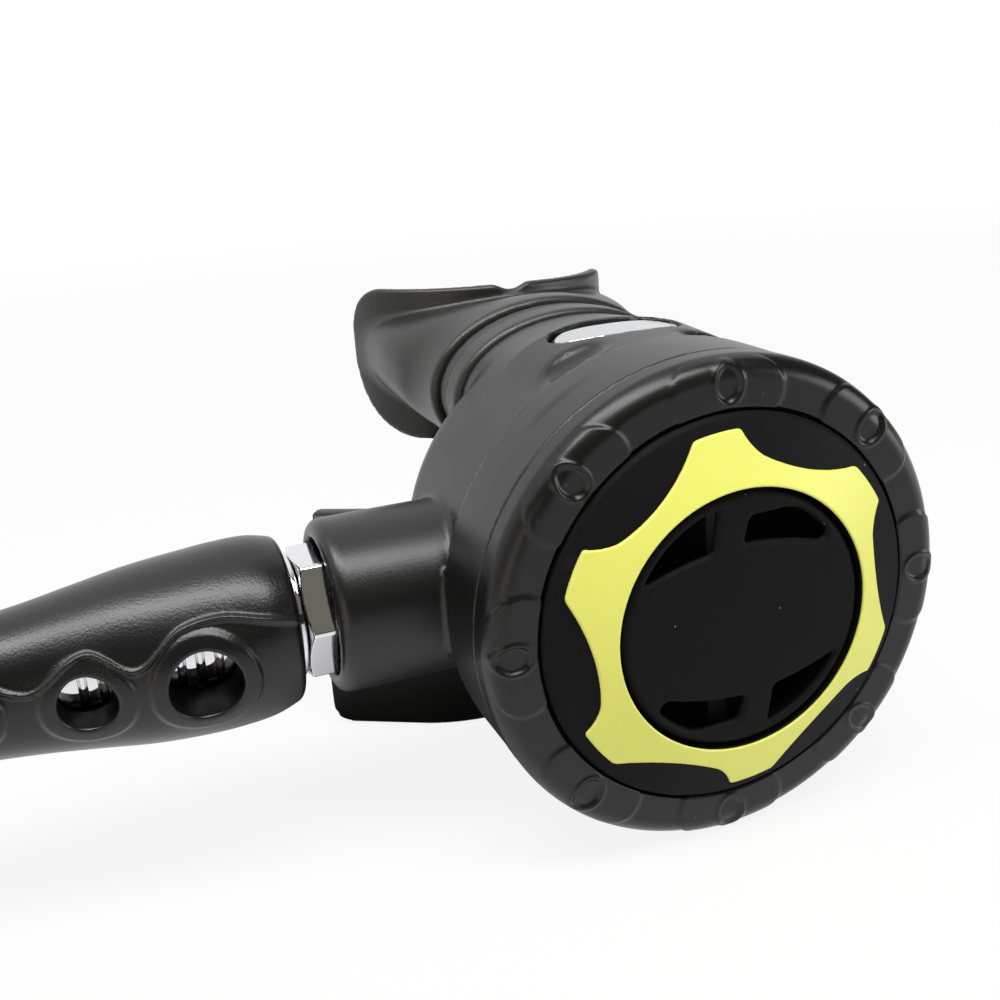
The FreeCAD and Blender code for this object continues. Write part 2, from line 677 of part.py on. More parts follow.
# Cover grille: clamped over the diaphragm's bead, four spokes and a hub that guides the button's stem.
clamp_front = S.ring_skirt + S.joint_gap / 2
clamp_radius = ring_thread - S.thread_fit
sleeve_inner = ring_thread - S.skirt_wall - S.slide_fit - S.grille_wall
cover_grille = turned("cover_grille", [
    (sleeve_inner, 0), (flange_radius, 0), (flange_radius, clamp_front - S.grille_front),
    (clamp_radius, clamp_front - S.grille_front),
    (clamp_radius, clamp_front + S.grille_flange - S.grille_front),
    (sleeve_inner, clamp_front + S.grille_flange - S.grille_front)])
spoke = outline(cover_grille, [
    (0, -S.spoke_width / 2), (sleeve_inner + S.grille_wall / 2, -S.spoke_width / 2),
    (sleeve_inner + S.grille_wall / 2, S.spoke_width / 2), (0, S.spoke_width / 2)],
    role="XZ_Plane", name="Spoke")
repeat(cover_grille, pad(cover_grille, spoke, S.spoke_thick, back=True), S.spokes, spoke)
hub = circle(cover_grille, S.hub_radius, name="Hub")
pad(cover_grille, hub, S.spoke_thick, back=True, name="HubPad")
pocket_through(cover_grille, circle(cover_grille, S.button_stem + S.slide_fit, name="HubHole"))
place(cover_grille, 0, S.grille_front, 0)

# Diaphragm: bead under the grille, a rolled membrane, and a stiff plate in its middle.
bead_front = clamp_front + S.grille_flange
bead_inner = clamp_radius - S.bead_width
web_front = bead_front + (S.bead_height - S.membrane) / 2
web_back = web_front + S.membrane
roll_middle = (bead_inner + S.plate_radius) / 2
diaphragm = turned("diaphragm", [
    (clamp_radius, bead_front), (clamp_radius, bead_front + S.bead_height),
    (bead_inner, bead_front + S.bead_height), (bead_inner, web_back),
    (roll_middle + S.roll_depth, web_back), (roll_middle + S.roll_depth / 2, web_back - S.roll_depth),
    (roll_middle - S.roll_depth / 2, web_back - S.roll_depth), (roll_middle - S.roll_depth, web_back),
    (S.plate_radius + S.slide_fit, web_back), (S.plate_radius + S.slide_fit, web_front),
    (roll_middle - S.roll_depth - S.membrane, web_front),
    (roll_middle - S.roll_depth / 2 - S.membrane / 2, web_front - S.roll_depth),
    (roll_middle + S.roll_depth / 2 + S.membrane / 2, web_front - S.roll_depth),
    (roll_middle + S.roll_depth + S.membrane, web_front), (bead_inner, web_front),
    (bead_inner, bead_front)])
place(diaphragm)
diaphragm_plate = turned("diaphragm_plate", [
    (0, plate_front), (S.plate_radius, plate_front), (S.plate_radius, plate_front + S.plate_thick),
    (0, plate_front + S.plate_thick)])
place(diaphragm_plate)

# Case: turned bowl with a heavier rim, inlet barrel, plug boss, mouthpiece tube and exhaust collar.
ledge = bead_front + S.bead_height
bowl = turned("bowl", [
    (0, S.ring_back + S.joint_gap), (rim_radius, S.ring_back + S.joint_gap),
    (rim_radius, S.rim_back), (bowl_radius, S.rim_back + S.rim_bevel),
    (bowl_radius, S.case_back - S.case_round), (bowl_radius - S.case_round, S.case_back),
    (0, S.case_back)], arcs={4: -S.case_round})
place(bowl)


def barrel(label, end):
    """Round barrel that runs out of the bowl, with a rounded end."""
    body = turned(label, [(0, 0), (end, 0), (end, S.barrel_radius), (0, S.barrel_radius)], axis="H_Axis")
    soften(body, S.barrel_round, lambda edge: is_circle(edge, S.barrel_radius, end, axis="x"))
    return body


inlet_barrel = barrel("inlet_barrel", S.barrel_end)
place(inlet_barrel, 0, S.barrel_depth, 0, FreeCAD.Rotation(V(0, 0, 1), 180))
plug_boss = barrel("plug_boss", S.boss_end)
place(plug_boss, 0, S.barrel_depth, 0)
tube_body = loft("tube_body", [
    ellipse("tube_first", S.tube_wide + S.tube_flare, S.tube_tall + S.tube_raise, S.tube_root,
            tube_height),
    ellipse("tube_second", S.tube_wide + S.tube_flare / 2, S.tube_tall + S.tube_raise, S.tube_knee,
            tube_height),
    ellipse("tube_third", S.tube_wide, S.tube_tall, shoulder, tube_height)])
tube_seat = oval_bar("tube_seat", S.tube_wide - S.tube_step, S.tube_tall - S.tube_step,
                     S.tube_knee, tube_end, tube_height)
tube_bore = oval_bar("tube_bore", S.tube_wide - S.tube_step - S.tube_wall,
                     S.tube_tall - S.tube_step - S.tube_wall, S.tube_knee, tube_end + S.overrun,
                     tube_height)
port_collar = cylinder("port_collar", S.collar_radius, S.collar_end - S.case_back + S.case_wall)
place(port_collar, 0, S.case_back - S.case_wall, -S.port_drop, ALONG_Y)

cavity = turned("cavity", [
    (0, 0), (ring_thread + S.thread_fit, 0), (ring_thread + S.thread_fit, ledge),
    (clamp_radius - S.ledge_wall, ledge), (clamp_radius - S.ledge_wall, S.case_back - S.case_round),
    (clamp_radius - S.case_round, S.case_back - S.case_wall), (0, S.case_back - S.case_wall)])
place(cavity)


def along_x(label, radius, start, end):
    """Cylinder on the barrel's axis, from start to end across the stage."""
    solid = cylinder(label, radius, end - start)
    place(solid, start, S.barrel_depth, 0, ALONG_X)
    return solid


valve_hole = along_x("valve_hole", S.valve_tube + S.body_fit, -S.barrel_end - S.overrun,
                     S.boss_end + S.overrun)
inlet_recess = along_x("inlet_recess", S.barrel_mouth, -S.barrel_end - S.overrun,
                       S.barrel_recess - S.barrel_end)
plug_recess = along_x("plug_recess", S.barrel_mouth, S.boss_end - S.barrel_recess,
                      S.boss_end + S.overrun)
hub_front = S.case_back - S.case_wall


def through_port(label, radius, margin=0):
    """Cylinder through the wall of the exhaust port, longer at both ends by margin."""
    solid = cylinder(label, radius, S.case_wall + S.overrun + margin * 2)
    place(solid, 0, hub_front - S.overrun / 2 - margin, -S.port_drop, ALONG_Y)
    return solid


port_width = S.port_radius * 2 + S.overrun * 2
port_deep = S.case_wall + S.overrun * 2
spoke_across = box("spoke_across", port_width, port_deep, S.port_spoke)
place(spoke_across, -port_width / 2, hub_front - S.overrun, -S.port_drop - S.port_spoke / 2)
spoke_up = box("spoke_up", S.port_spoke, port_deep, port_width)
place(spoke_up, -S.port_spoke / 2, hub_front - S.overrun, -S.port_drop - port_width / 2)
port_quarters = cut("port_quarters", through_port("port_air", S.port_radius), spoke_across, spoke_up,
                    through_port("port_hub", S.port_hub, S.overrun / 2))
hub_hole = through_port("hub_hole", S.port_spoke / 2 + S.body_fit)
collar_bore = cylinder("collar_bore", S.collar_radius - S.collar_wall,
                       S.collar_end - S.case_back + S.overrun)
place(collar_bore, 0, S.case_back, -S.port_drop, ALONG_Y)


def name_block(label, margin, bottom, height):
    """Oval block under the sky, longest across the stage, for the nameplate and its pocket."""
    curve = doc.addObject("Part::Ellipse", f"{label}_curve")
    bind(curve, "MajorRadius", S.plate_half + margin)
    bind(curve, "MinorRadius", S.plate_tall + margin)
    place(curve, 0, S.plate_depth, bottom)
    block = doc.addObject("Part::Extrusion", label)
    block.Base = curve
    block.DirMode = "Custom"
    block.Dir = V(0, 0, 1)
    block.Solid = True
    bind(block, "LengthFwd", height)
    return block


tube_crest = tube_height + S.tube_tall + S.tube_raise
name_floor = tube_crest - S.plate_sink
name_pocket = name_block("name_pocket", S.plate_fit, name_floor, S.plate_sink + S.overrun)
case_outside = joined("case_outside", bowl, inlet_barrel, plug_boss, tube_body, tube_seat, port_collar)
case = cut("case", case_outside, cavity, valve_hole, inlet_recess, plug_recess, tube_bore,
           port_quarters, hub_hole, collar_bore, name_pocket)
nameplate = name_block("nameplate", 0, name_floor, S.name_thick)

# Valve tube: threaded inlet, socket for the hose stem, step for the orifice, web for the spring and
# slots for the lever's toes.
nut_room = S.barrel_recess - S.barrel_end
socket_end = S.socket_depth - S.inlet_end
step_place = -S.orifice_face - S.orifice_length
tube_shape = turned("tube_shape", [
    (-S.inlet_end, S.stem_socket), (-S.inlet_end, S.inlet_thread), (nut_room, S.inlet_thread),
    (nut_room, S.valve_tube), (S.tube_tail, S.valve_tube), (S.tube_tail, S.valve_bore),
    (S.web_thick - S.web_place, S.valve_bore), (S.web_thick - S.web_place, S.web_hole),
    (-S.web_place, S.web_hole), (-S.web_place, S.valve_bore), (step_place, S.valve_bore),
    (step_place, S.inlet_bore), (socket_end, S.inlet_bore), (socket_end, S.stem_socket)],
    axis="H_Axis")
place(tube_shape, 0, S.barrel_depth, 0)
toe_depth = S.barrel_depth - S.toe_offset
toe_slot = box("toe_slot", S.slot_length, S.slot_height, S.valve_tube * 2 + S.overrun * 2)
place(toe_slot, -S.lever_pivot - S.slot_lead, toe_depth - S.slot_height / 2,
      -S.valve_tube - S.overrun)
ring_place = step_place + S.seat_thick
groove_floor = S.valve_tube - S.cord_small * 2
ring_groove = turned("ring_groove", [
    (ring_place - S.cord_small, groove_floor), (ring_place - S.cord_small, S.valve_tube + S.overrun),
    (ring_place + S.cord_small, S.valve_tube + S.overrun), (ring_place + S.cord_small, groove_floor)],
    axis="H_Axis")
place(ring_groove, 0, S.barrel_depth, 0)
valve_tube = cut("valve_tube", tube_shape, toe_slot, ring_groove)


def o_ring(label, middle, wire, across, depth=S.barrel_depth, height=0, rotation=ALONG_X):
    ring = doc.addObject("Part::Torus", label)
    ring.Label = label
    bind(ring, "Radius1", middle)
    bind(ring, "Radius2", wire)
    place(ring, across, depth, height, rotation)
    return ring


tube_oring = o_ring("tube_oring", S.valve_tube - S.cord_small, S.cord_small, ring_place)

# Orifice: the valve's mouth, pressed against the step in the tube, with its own ring.
orifice_outer = S.valve_bore - S.body_fit
orifice_back = step_place
groove_place = (orifice_back - S.orifice_face) / 2
orifice = turned("orifice", [
    (orifice_back, S.orifice_bore), (orifice_back, orifice_outer),
    (groove_place - S.cord_small, orifice_outer), (groove_place - S.cord_small,
                                                   orifice_outer - S.cord_small * 2),
    (groove_place + S.cord_small, orifice_outer - S.cord_small * 2),
    (groove_place + S.cord_small, orifice_outer), (-S.orifice_face - S.seat_thick, orifice_outer),
    (-S.orifice_face, S.orifice_bore + S.orifice_lip), (-S.orifice_face, S.orifice_bore)],
    axis="H_Axis")
place(orifice, 0, S.barrel_depth, 0)
orifice_oring = o_ring("orifice_oring", orifice_outer - S.cord_small, S.cord_small, groove_place)

# Poppet: soft seat, head, stem, and the spring that closes it; washer and nut take the lever's pull.
seat_place = S.body_fit - S.orifice_face
head_place = seat_place + S.seat_thick
head_back = head_place + S.poppet_length
poppet_seat = along_x("poppet_seat", S.seat_radius, seat_place, head_place)
poppet = turned("poppet", [
    (head_place, 0), (head_place, S.valve_bore - S.poppet_fit),
    (head_back, S.valve_bore - S.poppet_fit), (head_back, S.poppet_stem), (-S.stem_end, S.poppet_stem),
    (-S.stem_end, 0)], axis="H_Axis")
place(poppet, 0, S.barrel_depth, 0)
washer_place = S.toe_radius + S.body_fit * 2 - S.lever_pivot
stem_hole = S.poppet_stem + S.body_fit
lever_washer = turned("lever_washer", [
    (washer_place, stem_hole), (washer_place, S.washer_radius),
    (washer_place + S.washer_thick, S.washer_radius), (washer_place + S.washer_thick, stem_hole)],
    axis="H_Axis")
place(lever_washer, 0, S.barrel_depth, 0)


def hexagon(label, flats, bore, start, end, bevel, height=0, depth=S.barrel_depth):
    """Hexagon along X with its corners turned off at both ends and a bore through it."""
    prism = doc.addObject("Part::Prism", f"{label}_prism")
    prism.Polygon = 6
    corner = flats / cosine(30) / 2
    bind(prism, "Circumradius", corner)
    bind(prism, "Height", end - start)
    place(prism, start, depth, height, ALONG_X)
    turn = turned(f"{label}_turn", [
        (start, bore), (start, corner - bevel), (start + bevel / 2, corner), (end - bevel / 2, corner),
        (end, corner - bevel), (end, bore)], axis="H_Axis")
    place(turn, 0, depth, height)
    both = doc.addObject("Part::Common", label)
    both.Base = prism
    both.Tool = turn
    return both


lever_nut = hexagon("lever_nut", S.lever_nut_flats, stem_hole, washer_place + S.washer_thick,
                    -S.stem_end - S.body_fit, S.lever_nut_bevel)
spring_room = -S.web_place - head_back - S.lift - S.body_fit - S.spring_wire * 2
helix = Part.makeHelix(float(spring_room / S.spring_turns), float(spring_room), float(S.spring_radius))
wire_start = V(float(S.spring_radius), 0, 0)
wire_loop = Part.Wire([Part.makeCircle(float(S.spring_wire), wire_start, V(0, 1, 0))])
poppet_spring = made("poppet_spring", Part.Wire(helix.Edges).makePipeShell([wire_loop], True, True))
place(poppet_spring, head_back + S.spring_wire, S.barrel_depth, 0, ALONG_X)

# Demand lever: fork over the valve tube with two toes in the slots, and an arm to the plate.
plate_back = plate_front + S.plate_thick
leg_gap = S.valve_tube + S.poppet_fit
bridge_depth = S.barrel_depth - S.valve_tube - S.lever_clear - S.lever_sheet
fork = []
for name, start in (("leg_up", leg_gap), ("leg_down", -leg_gap - S.lever_sheet)):
    leg = box(name, S.leg_width, S.valve_tube + S.lever_clear + S.lever_sheet, S.lever_sheet)
    place(leg, -S.lever_pivot - S.leg_width / 2, bridge_depth, start)
    fork.append(leg)
for name, start in (("toe_up", S.toe_reach), ("toe_down", -leg_gap - S.lever_sheet)):
    toe = cylinder(name, S.toe_radius, leg_gap + S.lever_sheet - S.toe_reach)
    place(toe, -S.lever_pivot, toe_depth, start)
    fork.append(toe)
bridge = box("bridge", S.leg_width, S.lever_sheet, (leg_gap + S.lever_sheet) * 2)
place(bridge, -S.lever_pivot - S.leg_width / 2, bridge_depth, -leg_gap - S.lever_sheet)
fork.append(bridge)
arm_body = new_body("lever_arm")
tip_depth = plate_back + S.lever_gap
arm = outline(arm_body, [
    (-S.lever_pivot - S.toe_radius, bridge_depth), (S.lever_tip, tip_depth),
    (S.lever_tip + S.lever_sheet, tip_depth + S.lever_sheet),
    (S.toe_radius - S.lever_pivot, bridge_depth + S.lever_sheet),
    (-S.lever_pivot - S.toe_radius, bridge_depth + S.lever_sheet)], arcs={1: S.lever_sheet})
arm_pad = pad(arm_body, arm, S.lever_half * 2)
arm_pad.Midplane = True
place(arm_body)
fork.append(arm_body)
demand_lever = joined("demand_lever", *fork)

# End plug: closes the boss on the far side, with a slot for a coin and a ring in its groove.
plug_room = S.boss_end - S.barrel_recess
plug_groove = (S.tube_tail + plug_room) / 2
plug_turned = turned("plug_turned", [
    (S.tube_tail + S.joint_gap, 0), (S.tube_tail + S.joint_gap, S.valve_tube),
    (plug_groove - S.cord_small, S.valve_tube), (plug_groove - S.cord_small, groove_floor),
    (plug_groove + S.cord_small, groove_floor), (plug_groove + S.cord_small, S.valve_tube),
    (plug_room, S.valve_tube), (plug_room, S.barrel_mouth - S.joint_gap),
    (S.boss_end - S.slide_fit, S.barrel_mouth - S.joint_gap), (S.boss_end - S.slide_fit, 0)],
    axis="H_Axis")
place(plug_turned, 0, S.barrel_depth, 0)
coin_slot = box("coin_slot", S.coin_depth + S.overrun, S.coin_width, S.valve_tube * 2)
place(coin_slot, S.boss_end - S.slide_fit - S.coin_depth, S.barrel_depth - S.coin_width / 2,
      -S.valve_tube)
end_plug = cut("end_plug", plug_turned, coin_slot)
end_plug_oring = o_ring("end_plug_oring", S.valve_tube - S.cord_small, S.cord_small, plug_groove)

# Exhaust valve: soft mushroom on the port, held by the bulb on its stem.
exhaust_valve = turned("exhaust_valve", [
    (0, hub_front - S.case_wall), (S.port_spoke / 2, hub_front - S.case_wall),
    (S.port_spoke, hub_front - S.valve_thick), (S.port_spoke, hub_front),
    (S.port_spoke / 2, hub_front), (S.port_spoke / 2, S.case_back), (S.valve_radius, S.case_back),
    (S.valve_radius, S.case_back + S.valve_thick), (0, S.case_back + S.valve_thick)])
place(exhaust_valve, 0, 0, -S.port_drop)


# Exhaust tee: hollow body behind the case with two open wings that sweep back.
def tee_block(label, margin, reach):
    """Solid of the tee, its walls moved inwards by margin and its wings lengthened by reach."""
    lean = tangent(S.wing_angle)
    half = tangent(S.wing_angle / 2)
    out = S.tee_half + reach
    front = S.tee_front + margin
    knee = S.tee_shoulder - margin * half
    deep = S.tee_deep - margin * 2
    end = front + (out - knee) * lean
    inner_knee = knee - deep * half
    back_x = out - deep * sine(S.wing_angle)
    back_y = end + deep * cosine(S.wing_angle)
    body = new_body(label)
    plan = outline(body, [
        (-knee, front), (knee, front), (out, end), (back_x, back_y), (inner_knee, front + deep),
        (-inner_knee, front + deep), (-back_x, back_y), (-out, end)])
    tall = S.ring_radius + S.tee_top - margin * 2
    pad(body, plan, tall)
    rear = [(0, front + deep), ((inner_knee + back_x) / 2, (front + deep + back_y) / 2)]
    fore = [(0, front), ((knee + out) / 2, (front + end) / 2)]

    def on_edge(edge, level, spots):
        middle = edge.CenterOfMass
        return abs(middle.z - float(level)) < 0.01 and any(
            abs(abs(middle.x) - float(x)) < 0.01 and abs(middle.y - float(y)) < 0.01 for x, y in spots)

    slope = soften(body, S.tee_slope, lambda edge: on_edge(edge, tall, rear), kind="Chamfer")
    slope.ChamferType = "Two distances"
    bind(slope, "Size2", S.tee_drop)
    soften(body, S.tee_round - margin, lambda edge: on_edge(edge, tall, fore)
           or on_edge(edge, Size(0), fore + rear))
    place(body, 0, 0, margin - S.ring_radius)
    return body


tee_hole = cylinder("tee_hole", S.collar_radius + S.body_fit, S.tee_wall * 2)
place(tee_hole, 0, S.tee_front - S.tee_wall / 2, -S.port_drop, ALONG_Y)
exhaust_tee = cut("exhaust_tee", tee_block("tee_outside", Size(0), Size(0)),
                  tee_block("tee_inside", S.tee_wall, S.overrun), tee_hole)


# Mouthpiece: oval neck on the tube's seat, a swelling, and a curved flange with two bite tabs.
def oval_ring(label, wide, tall, thick, front, length, height=tube_height):
    """Band of oval shape round an oval, thick towards the outside."""
    outer = oval_bar(f"{label}_outer", wide + thick, tall + thick, front, front + length, height)
    inner = oval_bar(f"{label}_inner", wide, tall, front - length, front + length * 2, height)
    return cut(label, outer, inner)


arch_middle = arch_front + S.arch_radius
mouth_front = shoulder + S.body_fit
neck = oval_bar("neck", S.neck_wide, S.neck_tall, mouth_front, neck_end, tube_height)
dome = loft("dome", [ellipse("dome_front", S.neck_wide, S.neck_tall, neck_end, tube_height),
                     ellipse("dome_back", S.dome_wide, S.dome_tall, bite_back, tube_height)])
flange_shape = new_body("flange_shape")
wide = S.arch_radius
flange_plan = outline(flange_shape, [
    (S.flange_turn - wide, -S.flange_low), (wide - S.flange_turn, -S.flange_low),
    (wide, S.flange_turn - S.flange_low), (wide, S.flange_tall - S.flange_round),
    (wide - S.flange_round, S.flange_tall), (S.flange_round - wide, S.flange_tall),
    (-wide, S.flange_tall - S.flange_round), (-wide, S.flange_turn - S.flange_low)],
    role="XZ_Plane", arcs={1: -S.flange_turn, 3: -S.flange_round, 5: -S.flange_round,
                           7: -S.flange_turn})
pad(flange_shape, flange_plan, bite_back - neck_end, back=True)
place(flange_shape, 0, neck_end, tube_height)


def upright(label, radius, across=0, depth=arch_middle):
    """Upright cylinder as tall as the bite flange."""
    solid = cylinder(label, radius, S.flange_tall * 2 + S.overrun)
    place(solid, across, depth, tube_height - S.flange_tall - S.overrun / 2)
    return solid


flange_zone = doc.addObject("Part::Common", "flange_zone")
flange_zone.Base = flange_shape
flange_zone.Tool = upright("arch_outside", S.arch_radius)
mouth_solid = joined("mouth_solid", neck, dome, flange_zone)
seat_hole = oval_bar("seat_hole", S.tube_wide - S.tube_step + S.body_fit,
                     S.tube_tall - S.tube_step + S.body_fit, shoulder - S.overrun, tube_end,
                     tube_height)
air_way = oval_bar("air_way", S.bore_wide, S.bore_tall, tube_end - S.overrun, bite_back, tube_height)
notch_hole = cylinder("notch_hole", S.notch, S.arch_radius)
place(notch_hole, 0, arch_front - S.notch,
      tube_height + S.flange_tall + S.notch - S.notch_deep, ALONG_Y)
groove_depth = S.tie_thick / 2
tie_groove = oval_ring("tie_groove", S.neck_wide - groove_depth, S.neck_tall - groove_depth,
                       S.tie_thick, tie_depth - S.body_fit, S.tie_width + S.body_fit * 2)
bead_groove = oval_ring("bead_groove", S.neck_wide - groove_depth, S.neck_tall - groove_depth,
                        S.tie_thick, tie_depth + S.tie_width + S.bead_gap, S.bead_groove)
mouth_shell = cut("mouth_shell", mouth_solid, upright("arch_inside", S.arch_radius - S.flange_wall),
                  seat_hole, air_way, notch_hole, tie_groove, bead_groove)
tab_start = S.bore_wide + S.joint_gap
tabs = []
for name, start in (("right", tab_start), ("left", -tab_start - S.tab_reach)):
    tab = box(f"tab_{name}", S.tab_reach, bite_back - arch_front, S.tab_thick)
    place(tab, start, arch_front, tube_height - S.tab_thick / 2)
    tabs.append(tab)
for name, start in (("right", tab_start), ("left", -tab_start - S.tab_thick)):
    lug = box(f"lug_{name}", S.tab_thick, S.tab_width, S.lug_tall * 2)
    place(lug, start, bite_back - S.tab_width, tube_height - S.lug_tall)
    tabs.append(lug)
tabs_inside = doc.addObject("Part::Common", "tabs_inside")
tabs_inside.Base = joined("tab_boxes", *tabs)
tabs_inside.Tool = upright("tab_limit", S.arch_radius - S.flange_wall / 2)
mouthpiece = joined("mouthpiece", mouth_shell, tabs_inside)
tie_band = oval_ring("tie_band", S.neck_wide - groove_depth + S.body_fit,
                     S.neck_tall - groove_depth + S.body_fit, S.tie_thick, tie_depth, S.tie_width)
tie_lock = box("tie_lock", S.lock_width, S.tie_width, S.lock_height)
place(tie_lock, S.neck_wide + S.body_fit * 2, tie_depth, tube_height - S.lock_height / 2)
mouthpiece_tie = joined("mouthpiece_tie", tie_band, tie_lock)

# Hose nut, hose stem with its collar, and the stem's ring.
nut_hex = hexagon("nut_hex", S.nut_flats, S.inlet_thread + S.body_fit, -S.nut_back, -S.nut_front,
                  S.nut_bevel)
web_radius = S.nut_flats / 2 - S.nut_bevel
nut_web = turned("nut_web", [
    (-S.nut_back, S.stem_neck + S.stem_gap), (-S.nut_back, web_radius),
    (S.nut_web - S.nut_back, web_radius),
    (S.nut_web - S.nut_back, S.stem_neck + S.stem_gap)], axis="H_Axis")
place(nut_web, 0, S.barrel_depth, 0)
hose_nut = joined("hose_nut", nut_hex, nut_web)
flange_start = -S.inlet_end - S.stem_gap
flange_end = S.nut_web - S.nut_back + S.stem_gap
collar_start = -S.nut_back - S.joint_gap
collar_stop = collar_start - S.collar_thick
nose_end = socket_end - S.stem_gap
nose_groove = (nose_end - S.inlet_end) / 2
nose_radius = S.stem_socket - S.body_fit
hose_stem = turned("hose_stem", [
    (nose_end, 0), (nose_end, nose_radius), (nose_groove + S.cord_small, nose_radius),
    (nose_groove + S.cord_small, nose_radius - S.cord_small * 2),
    (nose_groove - S.cord_small, nose_radius - S.cord_small * 2), (nose_groove - S.cord_small,
                                                                    nose_radius),
    (flange_start, nose_radius), (flange_start, S.stem_flange), (flange_end, S.stem_flange),
    (flange_end, S.stem_neck), (collar_start, S.stem_neck), (collar_start, S.collar_disc),
    (collar_stop, S.collar_disc), (collar_stop, S.stem_barb), (-S.crimp_first, S.stem_barb),
    (-S.crimp_first, 0)], axis="H_Axis")
place(hose_stem, 0, S.barrel_depth, 0)
stem_oring = o_ring("stem_oring", nose_radius - S.cord_small, S.cord_small, nose_groove)

# Crimped ferrule: metal sleeve round the hose's end, with crimp grooves.
crimp_corners = []
for index in range(int(float(S.crimps))):
    crimp = -S.crimp_first - S.crimp_pitch * index
    floor = S.ferrule_radius - S.crimp_depth
    crimp_corners += [(crimp + S.crimp_width, S.ferrule_radius), (crimp + S.crimp_width / 2, floor),
                      (crimp - S.crimp_width / 2, floor), (crimp - S.crimp_width, S.ferrule_radius)]
crimp_ferrule = turned("crimp_ferrule", [
    (-S.crimp_first, 0), (-S.crimp_first, S.stem_barb), (collar_stop, S.stem_barb),
    (collar_stop, S.ferrule_radius), *crimp_corners, (-S.ferrule_end, S.ferrule_radius),
    (-S.ferrule_end, 0)], axis="H_Axis")
place(crimp_ferrule, 0, S.barrel_depth, 0)


# Hose sleeve: soft tapered guard with rimmed holes on two sides.
def sleeve_shape(label, extra):
    body = turned(label, [
        (-S.sleeve_start, 0), (-S.sleeve_start, S.sleeve_mouth + extra),
        (-(S.sleeve_start + S.hole_first) / 2, S.sleeve_belly + extra),
        (S.hole_rim - S.hole_first, S.sleeve_belly + extra), (-S.sleeve_waist, S.sleeve_side + extra),
        (-S.sleeve_mid, S.sleeve_slim + extra), (-S.sleeve_end, S.sleeve_tail + extra),
        (-S.sleeve_end, 0)], axis="H_Axis")
    place(body, 0, S.barrel_depth, 0)
    return body


def hole_tools(label, margin):
    """Cylinders through the sleeve's holes, wider by margin."""
    tools = []
    reach = S.sleeve_belly + S.overrun
    for index in range(int(float(S.holes))):
        tool = cylinder(f"{label}_{index + 1}", S.hole_radius - S.hole_shrink * index + margin, reach * 2)
        place(tool, -S.hole_first - S.hole_pitch * index, S.barrel_depth - reach * cosine(S.hole_tilt),
              -reach * sine(S.hole_tilt), FreeCAD.Rotation(V(1, 0, 0), float(S.hole_tilt) - 90))
        tools.append(tool)
    return tools


rims = doc.addObject("Part::Common", "hole_rims")
rims.Base = sleeve_shape("sleeve_proud", S.rim_proud)
rims.Tool = joined("rim_tools", *hole_tools("rim_tool", S.hole_rim))
ferrule_hole = along_x("ferrule_hole", S.ferrule_radius + S.sleeve_fit,
                       -S.ferrule_end - S.hose_room, -S.sleeve_start + S.overrun)
hose_hole = along_x("hose_hole", S.hose_radius + S.hose_room, -S.sleeve_end - S.overrun,
                    -S.sleeve_start + S.overrun)
hose_protector = cut("hose_protector", joined("sleeve_solid", sleeve_shape("sleeve_body", Size(0)), rims),
                     ferrule_hole, hose_hole, *hole_tools("hole_tool", Size(0)))


# Hose: one unbroken tube as it lies in use, and the rest of it put away as a coil.
def unit(vector):
    return vector / vector.Length


def arc_from(start, way, end):
    """Arc that leaves start in this direction and ends at end, and its direction there."""
    chord = end - start
    angle = way.getAngle(chord)
    across = unit(way - unit(chord) * way.dot(unit(chord)))
    middle = (start + end) / 2 + across * (chord.Length / 2 * math.tan(angle / 2))
    return Part.Arc(start, middle, end).toShape(), unit(unit(chord) * 2 * math.cos(angle) - way)


def biarc(start, start_way, end, end_way):
    """Two arcs that join two places in the given directions."""
    gap = end - start
    ways = start_way + end_way
    spread = 2 * (1 - start_way.dot(end_way))
    reach = gap.dot(ways)
    step = (math.sqrt(reach ** 2 + spread * gap.dot(gap)) - reach) / spread
    joint = (start + start_way * step + end - end_way * step) / 2
    first, way = arc_from(start, start_way, joint)
    second, way = arc_from(joint, way, end)
    return [first, second]


def rounded_route(points):
    """Straight runs joined by tangent arcs, each arc taking 0.45 of the shorter run beside it."""
    edges = []
    here = points[0]
    for before, corner, after in zip(points, points[1:], points[2:]):
        way_in = unit(corner - before)
        way_out = unit(after - corner)
        reach = 0.45 * min((corner - before).Length, (after - corner).Length)
        start = corner - way_in * reach
        end = corner + way_out * reach
        edges.append(Part.LineSegment(here, start).toShape())
        edges.append(arc_from(start, way_in, end)[0])
        here = end
    edges.append(Part.LineSegment(here, points[-1]).toShape())
    return edges


def tube_along(edges, radius):
    path = Part.Wire(edges)
    start = edges[0].Vertexes[0].Point
    way = edges[0].tangentAt(edges[0].FirstParameter)
    ring = Part.Wire([Part.makeCircle(radius, start, way)])
    return path.makePipeShell([ring], True, True)


high = S.hose_radius + S.coil_lift - S.ring_radius
low = S.hose_radius - S.ring_radius
first_bend = S.ferrule_end + S.hose_level
second_bend = first_bend + S.hose_drop
hose_points = [point_at(-S.ferrule_end, S.barrel_depth, 0), point_at(-first_bend, S.barrel_depth, 0),
               point_at(-second_bend, S.barrel_depth, high), point_at(-S.coil_start, S.barrel_depth, high)]
hose_edges = rounded_route(hose_points)
hose = made("hose", tube_along(hose_edges, float(S.hose_radius)))

